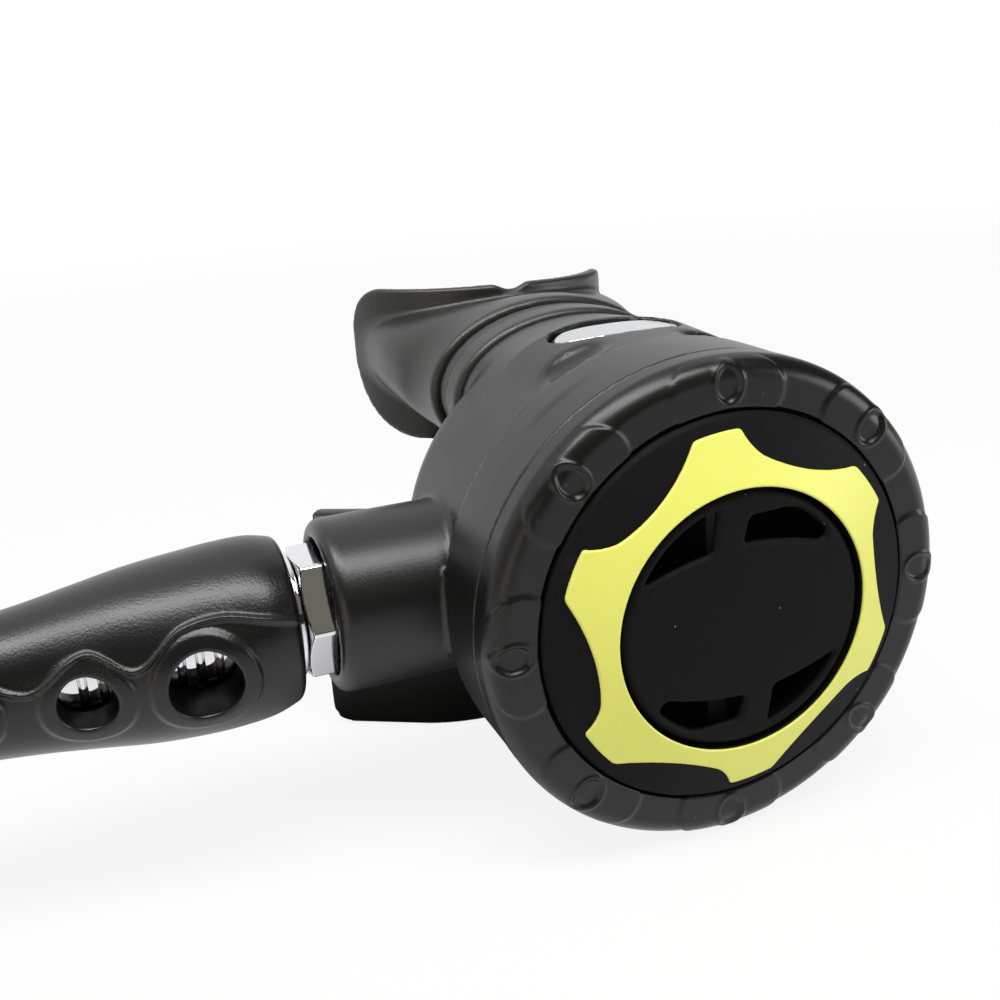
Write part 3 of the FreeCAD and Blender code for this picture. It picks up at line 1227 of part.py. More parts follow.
ring_start = S.coil_start + S.coil_lead
ring_depth = S.barrel_depth + S.coil_radius
slope = float(S.coil_lift) * 2 / (math.pi * float(S.coil_radius))
stations = [(0, high, 0), (1, high, 0), (2, high, 0), (3, (high + low) / 2, -slope), (4, low, 0),
            (5, low, 0), (6, low + S.end_rise, 0)]
coil_places = []
for quarter, level, fall in stations:
    turn = math.radians(-90 - 90 * quarter)
    spot = point_at(S.coil_radius * math.cos(turn) - ring_start,
                    ring_depth + S.coil_radius * math.sin(turn), level)
    coil_places.append((spot, unit(V(math.sin(turn), -math.cos(turn), fall))))
coil_edges = [Part.LineSegment(point_at(-S.coil_start, S.barrel_depth, high), coil_places[0][0]).toShape()]
for (spot, way), (next_spot, next_way) in zip(coil_places, coil_places[1:]):
    coil_edges += biarc(spot, way, next_spot, next_way)
far_level = low + S.end_rise
far_depth = ring_depth + S.coil_radius
far_start = S.coil_lead - ring_start
coil_edges.append(Part.LineSegment(coil_places[-1][0], point_at(far_start, far_depth, far_level)).toShape())
hose_coil = made("hose_coil", tube_along(coil_edges, float(S.hose_radius)))
for name, edges in (("hose", hose_edges), ("hose_coil", coil_edges)):
    radii = [edge.Curve.Radius for edge in edges if isinstance(edge.Curve, Part.Circle)]
    print(name, "length", round(sum(edge.Length for edge in edges), 1), "radii",
          [round(radius, 1) for radius in radii])
layers = [edge for edge in coil_edges if isinstance(edge.Curve, Part.Circle)]
apart = min(one.distToShape(other)[0] for one, other in zip(layers[:4], layers[8:]))
print("coil gap", round(apart - 2 * float(S.hose_radius), 2))

# First-stage end of the hose: crimped ferrule, hexagon and thread with its sealing ring.
far_end = far_start + S.far_length
far_crimps = []
for index in range(int(float(S.far_crimps))):
    crimp = far_start + S.crimp_pitch * 2 + S.crimp_pitch * index
    floor = S.far_radius - S.crimp_depth
    far_crimps += [(crimp - S.crimp_width, S.far_radius), (crimp - S.crimp_width / 2, floor),
                   (crimp + S.crimp_width / 2, floor), (crimp + S.crimp_width, S.far_radius)]
far_ferrule = turned("far_ferrule", [
    (far_start, 0), (far_start, S.far_radius), *far_crimps, (far_end - S.far_taper, S.far_radius),
    (far_end, S.hose_radius), (far_end, 0)], axis="H_Axis")
place(far_ferrule, 0, far_depth, far_level)
hex_end = far_end + S.hex_length
thread_end = hex_end + S.thread_length
neck_radius = S.thread_radius - S.cord_small * 2
fitting_hex = hexagon("fitting_hex", S.hex_flats, S.poppet_stem, far_end, hex_end, S.nut_bevel,
                      height=far_level, depth=far_depth)
fitting_thread = turned("fitting_thread", [
    (far_end, S.poppet_stem), (far_end, neck_radius), (hex_end + S.cord_small * 2, neck_radius),
    (hex_end + S.cord_small * 2, S.thread_radius), (thread_end - S.cord_small, S.thread_radius),
    (thread_end, neck_radius + S.cord_small), (thread_end, S.poppet_stem)], axis="H_Axis")
place(fitting_thread, 0, far_depth, far_level)
first_stage_fitting = joined("first_stage_fitting", fitting_hex, fitting_thread)
fitting_oring = o_ring("fitting_oring", neck_radius + S.cord_small, S.cord_small,
                       hex_end + S.cord_small, far_depth, far_level)

SUB_PARTS = [
    cover_ring, front_cover, gear_ring, purge_button, cover_grille, diaphragm, diaphragm_plate, case,
    nameplate, valve_tube, tube_oring, orifice, orifice_oring, poppet_seat, poppet, poppet_spring,
    lever_washer, lever_nut, demand_lever, end_plug, end_plug_oring, exhaust_valve, exhaust_tee,
    mouthpiece, mouthpiece_tie, hose_nut, hose_stem, stem_oring, crimp_ferrule, hose_protector, hose,
    hose_coil, far_ferrule, first_stage_fitting, fitting_oring]

doc.recompute()
for thing in doc.Objects:
    if "Invalid" in thing.State or "Error" in thing.State:
        raise RuntimeError(f"{thing.Label} does not build: {thing.State}")
for sub_part in SUB_PARTS:
    shape = sub_part.Shape
    if shape.isNull() or not shape.isValid() or shape.Volume <= 0:
        raise RuntimeError(f"{sub_part.Label} has no valid shape")
    shape.exportStep(f"parts/{sub_part.Label}.step")
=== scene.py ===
import math

import bpy
import numpy as np
from mathutils import Matrix, Vector


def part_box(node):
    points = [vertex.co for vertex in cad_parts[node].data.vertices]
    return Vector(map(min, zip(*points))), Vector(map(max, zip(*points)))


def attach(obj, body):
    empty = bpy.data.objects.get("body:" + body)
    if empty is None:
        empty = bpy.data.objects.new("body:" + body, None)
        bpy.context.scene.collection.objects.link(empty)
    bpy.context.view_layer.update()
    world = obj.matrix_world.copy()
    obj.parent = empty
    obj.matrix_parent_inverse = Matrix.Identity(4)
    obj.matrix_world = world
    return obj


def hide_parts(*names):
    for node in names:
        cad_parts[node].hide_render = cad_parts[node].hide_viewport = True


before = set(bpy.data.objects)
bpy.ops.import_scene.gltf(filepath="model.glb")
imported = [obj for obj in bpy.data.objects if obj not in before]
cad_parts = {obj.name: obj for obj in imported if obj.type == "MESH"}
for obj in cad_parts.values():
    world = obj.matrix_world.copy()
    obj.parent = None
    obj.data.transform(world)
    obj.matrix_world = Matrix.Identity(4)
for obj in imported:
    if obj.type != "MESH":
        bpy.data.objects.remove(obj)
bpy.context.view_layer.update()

# The studio. A pale sweep of paper in a white room, a wide soft lamp overhead, weaker ones to the
# right and in front with a dim warm card between them, and the camera where the photographer
# stood: low, close and to the hose's side.
ring_low, ring_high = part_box("cover_ring")
axis_x, axis_z = (ring_low.x + ring_high.x) / 2, (ring_low.z + ring_high.z) / 2
centre = Vector((axis_x, ring_low.y, axis_z))


def add(tree, kind, inputs, **settings):
    """Node with its settings, and its inputs as values or sockets."""
    node = tree.nodes.new(kind)
    for label, setting in settings.items():
        setattr(node, label, setting)
    for label, term in dict(inputs).items():
        if isinstance(term, bpy.types.NodeSocket):
            tree.links.new(term, node.inputs[label])
        else:
            node.inputs[label].default_value = term
    return node


def calc(tree, operation, *terms, clamp=False):
    """Math node on values or sockets."""
    node = add(tree, "ShaderNodeMath", enumerate(terms), operation=operation, use_clamp=clamp)
    return node.outputs[0]


def ray_kinds(tree):
    """1 for a ray from the camera, and 1 for a ray mirrored by gloss or passed by glass."""
    path = tree.nodes.new("ShaderNodeLightPath")
    mirror = calc(tree, "MAXIMUM", path.outputs["Is Glossy Ray"],
                  path.outputs["Is Transmission Ray"])
    return path.outputs["Is Camera Ray"], mirror


def strength_for(tree, room, mirrored):
    """Strength of a backdrop: room to scattered light, mirrored to gloss, and 1 to the camera."""
    camera_ray, mirror_ray = ray_kinds(tree)
    unseen = add(tree, "ShaderNodeMix", {"Factor": mirror_ray, "A": room, "B": mirrored})
    seen = add(tree, "ShaderNodeMix", {"Factor": camera_ray, "A": unseen.outputs["Result"],
                                       "B": 1.0})
    return seen.outputs["Result"]


def graded(tree, vector, operation, other, low, high, start, blend="LINEAR"):
    """Rises from start to 1 with a vector's product with another, or its distance from it."""
    measure = add(tree, "ShaderNodeVectorMath", {0: vector, 1: other}, operation=operation)
    rise = add(tree, "ShaderNodeMapRange", {"Value": measure.outputs["Value"], "From Min": low,
                                            "From Max": high, "To Min": start},
               interpolation_type=blend)
    return rise.outputs["Result"]


def put(name, data):
    """Object in the scene."""
    thing = bpy.data.objects.new(name, data)
    bpy.context.scene.collection.objects.link(thing)
    return thing


def new_material(name, **values):
    """Material, with its tree and its shader."""
    material = bpy.data.materials.new(name)
    material.use_nodes = True
    shader = material.node_tree.nodes["Principled BSDF"]
    for label, value in values.items():
        shader.inputs[label.replace("_", " ")].default_value = value
    return material, material.node_tree, shader


ROOM_LIGHT, DARK_SIDE = 0.31, 0.02
BRIGHT_SIDE, SWEEP_END = (-0.35, 0.90, 0.25), 0.52
world = bpy.data.worlds.new("room")
world.use_nodes = True
bpy.context.scene.world = world
room = world.node_tree
backdrop = room.nodes["Background"]
backdrop.inputs["Color"].default_value = (1, 1, 1, 1)
heading = room.nodes.new("ShaderNodeTexCoord")
sweep = graded(room, heading.outputs["Generated"], "DOT_PRODUCT", BRIGHT_SIDE, 0, SWEEP_END,
               DARK_SIDE, "SMOOTHSTEP")
room.links.new(strength_for(room, ROOM_LIGHT, sweep), backdrop.inputs["Strength"])

# The paper glows to the camera and in gloss, and near the part a little of it is lit instead, which
# holds the shadow. Gloss sees it darker in front, and a painted shadow darkens what gloss sees of
# it under the part.
FLOOR_HALF, PAPER_GREY = 3.0, 0.74
FLOOR_GLOW, GLOW_NEAR, GLOW_FAR = 0.88, 0.25, 0.90
FRONT_GLOW, FRONT_DEPTH = 0.65, 0.30
# Painted shadow under the part, seen only in gloss: its level, its middle and where it fades out.
PAINTED_SHADOW_LOW, PAINTED_SHADOW_AT, PAINTED_SHADOW_NEAR, PAINTED_SHADOW_FAR = 0.05, (-0.015, 0.012, 0), 0.03, 0.06
floor_mesh = bpy.data.meshes.new("floor")
floor_mesh.from_pydata([(x * FLOOR_HALF, y * FLOOR_HALF, 0) for x, y in
                        ((-1, -1), (1, -1), (1, 1), (-1, 1))], [], [(0, 1, 2, 3)])
floor = put("floor", floor_mesh)
paper, sheet, matt = new_material("paper", Base_Color=(PAPER_GREY, PAPER_GREY, PAPER_GREY, 1),
                                  Roughness=0.9, Specular_IOR_Level=0.1)
spot = sheet.nodes.new("ShaderNodeTexCoord").outputs["Object"]
front = graded(sheet, spot, "DOT_PRODUCT", (0, 1, 0), -FRONT_DEPTH, 0, FRONT_GLOW, "SMOOTHSTEP")
# Painted shadow: the glow that gloss sees falls towards the part's foot.
foot = graded(sheet, spot, "DISTANCE", PAINTED_SHADOW_AT, PAINTED_SHADOW_NEAR, PAINTED_SHADOW_FAR, PAINTED_SHADOW_LOW)
around = graded(sheet, spot, "DISTANCE", (0, 0, 0), GLOW_NEAR, GLOW_FAR, FLOOR_GLOW)
camera_ray, mirror_ray = ray_kinds(sheet)
share = calc(sheet, "MAXIMUM", mirror_ray, calc(sheet, "MULTIPLY", camera_ray, around))
mirrored = calc(sheet, "MULTIPLY", front, foot)
glow = add(sheet, "ShaderNodeEmission", {"Strength": strength_for(sheet, 0.0, mirrored)})
paper_mix = add(sheet, "ShaderNodeMixShader", {0: share, 1: matt.outputs[0], 2: glow.outputs[0]})
sheet.links.new(paper_mix.outputs[0], sheet.nodes["Material Output"].inputs["Surface"])
floor_mesh.materials.append(paper)


def soft_lamp(name, place, width, height, power, colour=(1, 1, 1)):
    """Softbox that faces the middle of the stage."""
    light = bpy.data.lights.new(name, "AREA")
    light.shape = "RECTANGLE"
    light.size, light.size_y = width, height
    light.color = colour
    light.energy = power
    lamp = put(name, light)
    lamp.location = centre + Vector(place)
    lamp.rotation_euler = (-Vector(place)).to_track_quat("-Z", "Y").to_euler()


WARM = (1.0, 0.93, 0.76)
soft_lamp("key", (-0.08, -0.16, 0.71), 0.90, 0.22, 7.0)
soft_lamp("side", (0.80, -0.40, 0.10), 0.50, 0.50, 3.0)
soft_lamp("front", (-0.66, -0.55, 0.06), 0.50, 0.50, 1.0, WARM)
soft_lamp("card", (0.09, -0.66, 0.52), 0.60, 0.60, 0.17, WARM)

CAMERA_PLACE, CAMERA_LENS, SENSOR = (-0.08045, -0.13149, 0.06969), 42.54, 36.0
CAMERA_TURN, CAMERA_RISE = math.radians(-19.85), math.radians(18.65)
CAMERA_ROLL = math.radians(-3.99)
turn = (Matrix.Rotation(CAMERA_TURN, 4, "Z") @ Matrix.Rotation(math.pi / 2 - CAMERA_RISE, 4, "X")
        @ Matrix.Rotation(CAMERA_ROLL, 4, "Z"))
view = bpy.data.cameras.new("camera")
view.lens, view.sensor_width = CAMERA_LENS, SENSOR
camera = put("camera", view)
camera.matrix_world = Matrix.Translation(centre + Vector(CAMERA_PLACE)) @ turn
bpy.context.scene.camera = camera
bpy.context.scene.view_settings.view_transform = "Standard"

# Finishes. Moulded plastic and rubber carry the fine grain of their mould, a little dust and a
# skin that is rubbed paler on its edges; metal has a faint uneven polish. Three groups hold the
# grain, the dust and the rubbed edges.
SOCKET_KINDS = {"Colour": "Color", "Rubbed": "Color", "Normal": "Vector"}


def new_group(name, inputs, outputs):
    """Shader group with named sockets, and its two end nodes."""
    group = bpy.data.node_groups.new(name, "ShaderNodeTree")
    for way, labels in (("INPUT", inputs), ("OUTPUT", outputs)):
        for label in labels:
            kind = "NodeSocket" + SOCKET_KINDS.get(label, "Float")
            group.interface.new_socket(label, in_out=way, socket_type=kind)
    return group, group.nodes.new("NodeGroupInput"), group.nodes.new("NodeGroupOutput")


def noise_at(tree, scale, detail):
    """Noise over the object's own space; the scale is a number or a socket."""
    spot = tree.nodes.new("ShaderNodeTexCoord")
    noise = add(tree, "ShaderNodeTexNoise", {"Vector": spot.outputs["Object"], "Scale": scale,
                                             "Detail": detail})
    return noise.outputs["Fac"]


# Mould grain: pebbled relief, and slow clouds of more and less gloss.
PEBBLE_DEPTH, CLOUD_SCALE = 0.0001, 55.0
grain, given, shown = new_group("mould_grain", ["Scale", "Depth", "Roughness", "Spread"],
                                ["Roughness", "Normal"])
pebbles = noise_at(grain, given.outputs["Scale"], 1.0)
relief = add(grain, "ShaderNodeBump", {"Distance": PEBBLE_DEPTH, "Height": pebbles,
                                       "Strength": given.outputs["Depth"]})
cloud = calc(grain, "SUBTRACT", noise_at(grain, CLOUD_SCALE, 3.0), 0.5)
sway = calc(grain, "MULTIPLY", cloud, given.outputs["Spread"])
grain.links.new(calc(grain, "ADD", given.outputs["Roughness"], sway, clamp=True),
                shown.inputs["Roughness"])
grain.links.new(relief.outputs["Normal"], shown.inputs["Normal"])

# Dust: tiny pale flecks, sparse, some fainter than others.
FLECK_SCALE, FLECK_REACH, FLECK_COLOUR = 800.0, 0.11, (0.22, 0.215, 0.20, 1)
dust, given, shown = new_group("dust", ["Colour", "Amount"], ["Colour"])
place = dust.nodes.new("ShaderNodeTexCoord")
flecks = add(dust, "ShaderNodeTexVoronoi", {"Scale": FLECK_SCALE,
                                            "Vector": place.outputs["Object"]})
near = calc(dust, "LESS_THAN", flecks.outputs["Distance"], FLECK_REACH)
lot = add(dust, "ShaderNodeSeparateColor", {"Color": flecks.outputs["Color"]})
picked = calc(dust, "LESS_THAN", lot.outputs["Red"], given.outputs["Amount"])
fleck = calc(dust, "MULTIPLY", calc(dust, "MULTIPLY", near, picked), lot.outputs["Green"])
tint = add(dust, "ShaderNodeMix", {"Factor": fleck, "A": given.outputs["Colour"],
                                   "B": FLECK_COLOUR}, data_type="RGBA")
dust.links.new(tint.outputs["Result"], shown.inputs["Colour"])

# Rubbed edges: a mask that grows where the surface turns sharply outwards, broken up by noise.
EDGE_START, EDGE_GAIN, PATCH_SCALE = 0.515, 14.0, 160.0
rubbed, given, shown = new_group("rubbed_edges", ["Colour", "Rubbed", "Amount"], ["Colour"])
bend = rubbed.nodes.new("ShaderNodeNewGeometry")
past = calc(rubbed, "SUBTRACT", bend.outputs["Pointiness"], EDGE_START)
edge = calc(rubbed, "MULTIPLY", past, EDGE_GAIN, clamp=True)
patchy = calc(rubbed, "MULTIPLY", edge, noise_at(rubbed, PATCH_SCALE, 4.0))
worn = calc(rubbed, "MULTIPLY", patchy, given.outputs["Amount"], clamp=True)
tint = add(rubbed, "ShaderNodeMix", {"Factor": worn, "A": given.outputs["Colour"],
                                     "B": given.outputs["Rubbed"]}, data_type="RGBA")
rubbed.links.new(tint.outputs["Result"], shown.inputs["Colour"])


def grained(tree, shader, rough, scale, depth, spread):
    """Let the grain give a shader its roughness and its normal."""
    node = add(tree, "ShaderNodeGroup", {"Roughness": rough, "Scale": scale, "Depth": depth,
                                         "Spread": spread}, node_tree=grain)
    for label in ("Roughness", "Normal"):
        tree.links.new(node.outputs[label], shader.inputs[label])


def moulded(name, colour, worn, rough, scale, depth, dusty=0.012, wear=0.3, spread=0.10,
            specular=0.5):
    """Moulded plastic or rubber: dust over rubbed edges over its own colour, and mould grain."""
    material, tree, shader = new_material(name, Specular_IOR_Level=specular)
    edges = add(tree, "ShaderNodeGroup", {"Colour": (*colour, 1), "Rubbed": (*worn, 1),
                                          "Amount": wear}, node_tree=rubbed)
    flecked = add(tree, "ShaderNodeGroup", {"Colour": edges.outputs["Colour"], "Amount": dusty},
                  node_tree=dust)
    tree.links.new(flecked.outputs["Colour"], shader.inputs["Base Color"])
    grained(tree, shader, rough, scale, depth, spread)
    return material


def fit(piece, material, slot, body, *nodes):
    """Give a piece its finish, let it ride on its body and stand for its CAD nodes."""
    piece.data.materials.clear()
    piece.data.materials.append(material)
    if body:
        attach(piece, body)
    if nodes:
        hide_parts(*nodes)


# Case: a bowl with a heavier rim, moulded in one with the inlet barrel, the boss of the end plug,
# the oval mouthpiece tube with its saddle, its two leaf-shaped hollows and the nameplate's pocket,
# and the ported collar of the exhaust.
SHARP, FINE, CRISP, SOFT, FAR = 0.0002, 0.0003, 0.0004, 0.0008, 0.12
RIM_FRONT, RIM_BACK, RIM_RADIUS = 0.0062, 0.0190, 0.0359
BOWL_RADIUS, CASE_BACK, CASE_ROUND = 0.0343, 0.0480, 0.0070
HOLLOW_RADIUS, HOLLOW_WALL, HOLLOW_ROUND = 0.0299, 0.0028, 0.004
MOUTH_RADIUS, MOUTH_DEEP = 0.0331, 0.0129
BARREL_RADIUS, BARREL_DEPTH, BARREL_END, BARREL_ROUND = 0.0132, 0.0308, 0.0513, 0.0019
BOSS_END, BOSS_ROUND, BARREL_FILLET = 0.0395, 0.0016, 0.0009
VALVE_BORE, RECESS_RADIUS, RECESS_DEEP, RECESS_EDGE = 0.00755, 0.0105, 0.0030, 0.0005
TUBE_UP, TUBE_END, TUBE_SHOULDER, TUBE_FILLET = 0.0220, 0.0650, 0.0505, 0.0012
TUBE_DEPTHS = [0.0130, 0.0220, 0.0340, TUBE_SHOULDER]
TUBE_WIDES = [0.0247, 0.0238, 0.0226, 0.0202]
TUBE_TALLS = [0.0124, 0.0125, 0.0131, 0.0125]
SEAT_STEP, SEAT_ROUND = 0.0014, 0.0005
AIR_WIDE, AIR_TALL, AIR_FRONT = 0.0166, 0.0089, 0.036
CREST_FRONT, CREST_FILLET = 0.0190, 0.0010
CREST_DEPTHS, CREST_WIDES = [CREST_FRONT, TUBE_SHOULDER], [0.0195, 0.0202]
CREST_MIDDLES = [CREST_FRONT, 0.0360, TUBE_SHOULDER]
CREST_TALLS, CREST_POWERS = [0.0126, 0.0139, 0.0125], [2.8, 2.6, 2.0]
BROW_DEPTH, BROW_TOP, BROW_FACING = 0.0193, 0.0342, (-0.625, 0.78125)
LEAF_AT, LEAF_SIZES, LEAF_EDGE = (0.0120, 0.0236, 0.0333), (0.0064, 0.0027, 0.0011), 0.0005
LEAF_OUTWARD, LEAF_UPWARD = (0.925, -0.225, -0.305), (0.30, -0.12, 0.95)
PLATE_DEPTH, PLATE_HALF, PLATE_TALL = 0.0329, 0.0104, 0.0050
PLATE_SUNK, PLATE_THICK = 0.00035, 0.0009
POCKET_ROOM, ROOM_BACK, ROOM_TALL = 0.0007, 0.6, 0.7
PORT_DOWN, PORT_RADIUS, PORT_FRONT, PORT_HUB, SPOKE_HALF = 0.0125, 0.0116, 0.044, 0.0048, 0.0012
COLLAR_RADIUS, COLLAR_FRONT, COLLAR_END, COLLAR_WALL = 0.0152, 0.04, 0.0540, 0.0018
BARREL_AT, PORT_AT = (0, BARREL_DEPTH, 0), (0, 0, -PORT_DOWN)


def meet(a, b, radius):
    """Inside both fields, with the outer edge between them rounded."""
    corner = np.hypot(np.maximum(a + radius, 0), np.maximum(b + radius, 0))
    return np.minimum(-radius, np.maximum(a, b)) + corner


def join(a, b, radius):
    """Inside either field, with the inner corner between them filled."""
    return -meet(-a, -b, radius)


def cut(a, b, radius):
    """Inside the first field and outside the second, with the edge between them rounded."""
    return meet(a, -b, radius)


def rod(p, along, radius, at=(0, 0, 0)):
    """Endless round rod along one axis."""
    first, second = [axis for axis in range(3) if axis != along]
    return np.hypot(p[..., first] - at[first], p[..., second] - at[second]) - radius


def slab(p, along, low, high):
    """Everything between two planes across one axis."""
    return np.maximum(low - p[..., along], p[..., along] - high)


def bar(p, along, radius, low, high, edge, at=(0, 0, 0)):
    """Round bar from low to high along one axis, its edges rounded."""
    return meet(rod(p, along, radius, at), slab(p, along, low, high), edge)


def oval(p, wide, tall, power=2.0):
    """Endless rod along Y of oval section, squarer as the power rises above 2."""
    x, z = np.abs(p[..., 0]) / wide, np.abs(p[..., 2] - TUBE_UP) / tall
    reach = np.maximum(x**power + z**power, 1e-9)**(1 / power)
    steep = np.hypot(x**(power - 1) / wide, z**(power - 1) / tall)
    return reach**(power - 1) * (reach - 1) / np.maximum(steep, 1e-6)


def smooth_piece(name, points, faces):
    """Smooth-shaded object, its points counted from the stage's centre."""
    mesh = bpy.data.meshes.new(name)
    mesh.from_pydata((points + np.array(centre)).tolist(), [], faces)
    mesh.polygons.foreach_set("use_smooth", [True] * len(mesh.polygons))
    mesh.update()
    return put(name, mesh)


def skin(name, field, low, high, cell):
    """Closed mesh where a field is zero: a net of cells drawn onto the surface."""
    steps = [np.arange(start, stop + cell, cell) for start, stop in zip(low, high)]
    nodes = np.stack(np.meshgrid(*steps, indexing="ij"), axis=-1)
    value = field(nodes)
    cells = tuple(size - 1 for size in value.shape)
    total, crossings = np.zeros(cells + (3,)), np.zeros(cells)
    edges = []
    for axis in range(3):
        v = np.moveaxis(value, axis, 0)
        change = (v[:-1] < 0) != (v[1:] < 0)
        gap = np.where(change, v[:-1] - v[1:], 1)
        spot = np.moveaxis(nodes, axis, 0)[:-1].copy()
        spot[..., axis] += cell * np.where(change, v[:-1] / gap, 0)
        spot *= change[..., None]
        wide, tall = v.shape[1] - 1, v.shape[2] - 1
        for i in (0, 1):
            for j in (0, 1):
                np.moveaxis(total, axis, 0)[...] += spot[:, i:wide + i, j:tall + j]
                np.moveaxis(crossings, axis, 0)[...] += change[:, i:wide + i, j:tall + j]
        edges.append((change, v[:-1] < 0))
    number = np.cumsum(crossings > 0).reshape(cells) - 1
    points = total[crossings > 0] / crossings[crossings > 0][:, None]
    quads = []
    for axis, (change, enters) in enumerate(edges):
        index = np.moveaxis(number, axis, 0)
        inner = change[:, 1:-1, 1:-1]
        corners = [index[:, :-1, :-1], index[:, 1:, :-1], index[:, 1:, 1:], index[:, :-1, 1:]]
        ring = np.stack([corner[inner] for corner in corners], axis=-1)
        flip = enters[:, 1:-1, 1:-1][inner] == (axis == 1)
        ring[flip] = ring[flip][:, ::-1]
        quads.append(ring)
    quads = np.concatenate(quads)
    probe = cell * 0.02
    for _ in range(4):
        slope = np.stack([field(points + probe * step) - field(points - probe * step)
                          for step in np.eye(3)], axis=-1) / (2 * probe)
        steep = np.maximum((slope**2).sum(-1), 0.05)
        move = np.clip(field(points) / steep, -cell, cell)
        points = points - slope * move[:, None]
    normals = slope / np.maximum(np.linalg.norm(slope, axis=-1), 1e-9)[:, None]
    piece = smooth_piece(name, points, quads.tolist())
    piece.data.normals_split_custom_set_from_vertices(normals.tolist())
    return piece


def crest_field(p):
    """The raised saddle along the top of the tube, which carries the nameplate."""
    y = p[..., 1]
    wide = np.interp(y, CREST_DEPTHS, CREST_WIDES)
    tall = np.interp(y, CREST_MIDDLES, CREST_TALLS)
    return oval(p, wide, tall, np.interp(y, CREST_MIDDLES, CREST_POWERS))


def hollow_field(p):
    """Leaf-shaped hollows, one on each side of the saddle's front."""
    off = np.stack([np.abs(p[..., 0]), p[..., 1], p[..., 2]], axis=-1) - np.array(LEAF_AT)
    outward, upward = Vector(LEAF_OUTWARD).normalized(), Vector(LEAF_UPWARD).normalized()
    axes = [outward, upward.cross(outward), upward]
    parts = [off @ np.array(axis) / size for axis, size in zip(axes, LEAF_SIZES)]
    return (np.sqrt(sum(part**2 for part in parts)) - 1) * LEAF_SIZES[2]


def plate_rim(p, room):
    """Oval outline of the nameplate, larger by room, most of it behind."""
    across = p[..., 0] / (PLATE_HALF + room)
    deep = (p[..., 1] - PLATE_DEPTH - room * ROOM_BACK) / (PLATE_TALL + room * ROOM_TALL)
    return (np.hypot(across, deep) - 1) * PLATE_TALL


def plate_top(p):
    """The nameplate's face, which leans back into the crest from its front edge."""
    lean = np.clip((p[..., 1] - PLATE_DEPTH) / PLATE_TALL, -1, 1)
    return crest_field(p) + PLATE_SUNK * (1 + lean)


def case_outside(p):
    """Rim, bowl, barrel, boss, tube, saddle and collar in one, before they are bored."""
    y, z = p[..., 1], p[..., 2]
    rim = bar(p, 1, RIM_RADIUS, RIM_FRONT, RIM_BACK, CRISP)
    bowl = bar(p, 1, BOWL_RADIUS, RIM_FRONT, CASE_BACK, CASE_ROUND)
    shell = join(rim, bowl, SOFT)
    barrel = bar(p, 0, BARREL_RADIUS, -BARREL_END, 0, BARREL_ROUND, BARREL_AT)
    boss = bar(p, 0, BARREL_RADIUS, 0, BOSS_END, BOSS_ROUND, BARREL_AT)
    shell = join(join(shell, barrel, BARREL_FILLET), boss, BARREL_FILLET)
    wide, tall = np.interp(y, TUBE_DEPTHS, TUBE_WIDES), np.interp(y, TUBE_DEPTHS, TUBE_TALLS)
    tube = meet(oval(p, wide, tall), slab(p, 1, TUBE_DEPTHS[0], TUBE_SHOULDER), SOFT)
    seat = meet(oval(p, TUBE_WIDES[-1] - SEAT_STEP, TUBE_TALLS[-1] - SEAT_STEP),
                slab(p, 1, TUBE_DEPTHS[0], TUBE_END), SEAT_ROUND)
    shell = join(shell, np.minimum(tube, seat), TUBE_FILLET)
    brow = (y - BROW_DEPTH) * BROW_FACING[0] + (z - BROW_TOP) * BROW_FACING[1]
    crest = meet(crest_field(p), np.maximum(brow, slab(p, 1, CREST_FRONT, TUBE_SHOULDER)), SOFT)
    shell = cut(join(shell, crest, CREST_FILLET), hollow_field(p), LEAF_EDGE)
    collar = bar(p, 1, COLLAR_RADIUS, COLLAR_FRONT, COLLAR_END, CRISP, PORT_AT)
    return join(shell, collar, CRISP)


def case_field(p):
    hollow = bar(p, 1, HOLLOW_RADIUS, 0, CASE_BACK - HOLLOW_WALL, HOLLOW_ROUND)
    mouth = bar(p, 1, MOUTH_RADIUS, 0, MOUTH_DEEP, FINE)
    shell = cut(cut(case_outside(p), hollow, FINE), mouth, FINE)
    air = meet(oval(p, AIR_WIDE, AIR_TALL), slab(p, 1, AIR_FRONT, FAR), SHARP)
    shell = cut(cut(shell, air, CRISP), rod(p, 0, VALVE_BORE, BARREL_AT), SHARP)
    for low, high in ((-FAR, RECESS_DEEP - BARREL_END), (BOSS_END - RECESS_DEEP, FAR)):
        shell = cut(shell, bar(p, 0, RECESS_RADIUS, low, high, SHARP, BARREL_AT), RECESS_EDGE)
    spokes = np.minimum(np.abs(p[..., 0]), np.abs(p[..., 2] + PORT_DOWN)) - SPOKE_HALF
    ports = np.maximum(bar(p, 1, PORT_RADIUS, PORT_FRONT, FAR, SHARP, PORT_AT),
                       np.maximum(-spokes, -rod(p, 1, PORT_HUB, PORT_AT)))
    inner_collar = bar(p, 1, COLLAR_RADIUS - COLLAR_WALL, CASE_BACK, FAR, SHARP, PORT_AT)
    shell = cut(cut(shell, ports, SHARP), inner_collar, FINE)
    floor = -PLATE_THICK - plate_top(p)
    pocket = meet(plate_rim(p, POCKET_ROOM), np.maximum(floor, TUBE_UP - p[..., 2]), SHARP)
    return cut(shell, pocket, CRISP)


case_finish = moulded("case_plastic", (0.0042, 0.0043, 0.0045), (0.04, 0.04, 0.039), rough=0.35,
                      scale=2600.0, depth=0.20, specular=0.55)
case = skin("case_shell", case_field, (-0.0525, 0.005, -0.037), (0.041, 0.067, 0.038), 0.0008)
fit(case, case_finish, "case_plastic", "stage", "case")

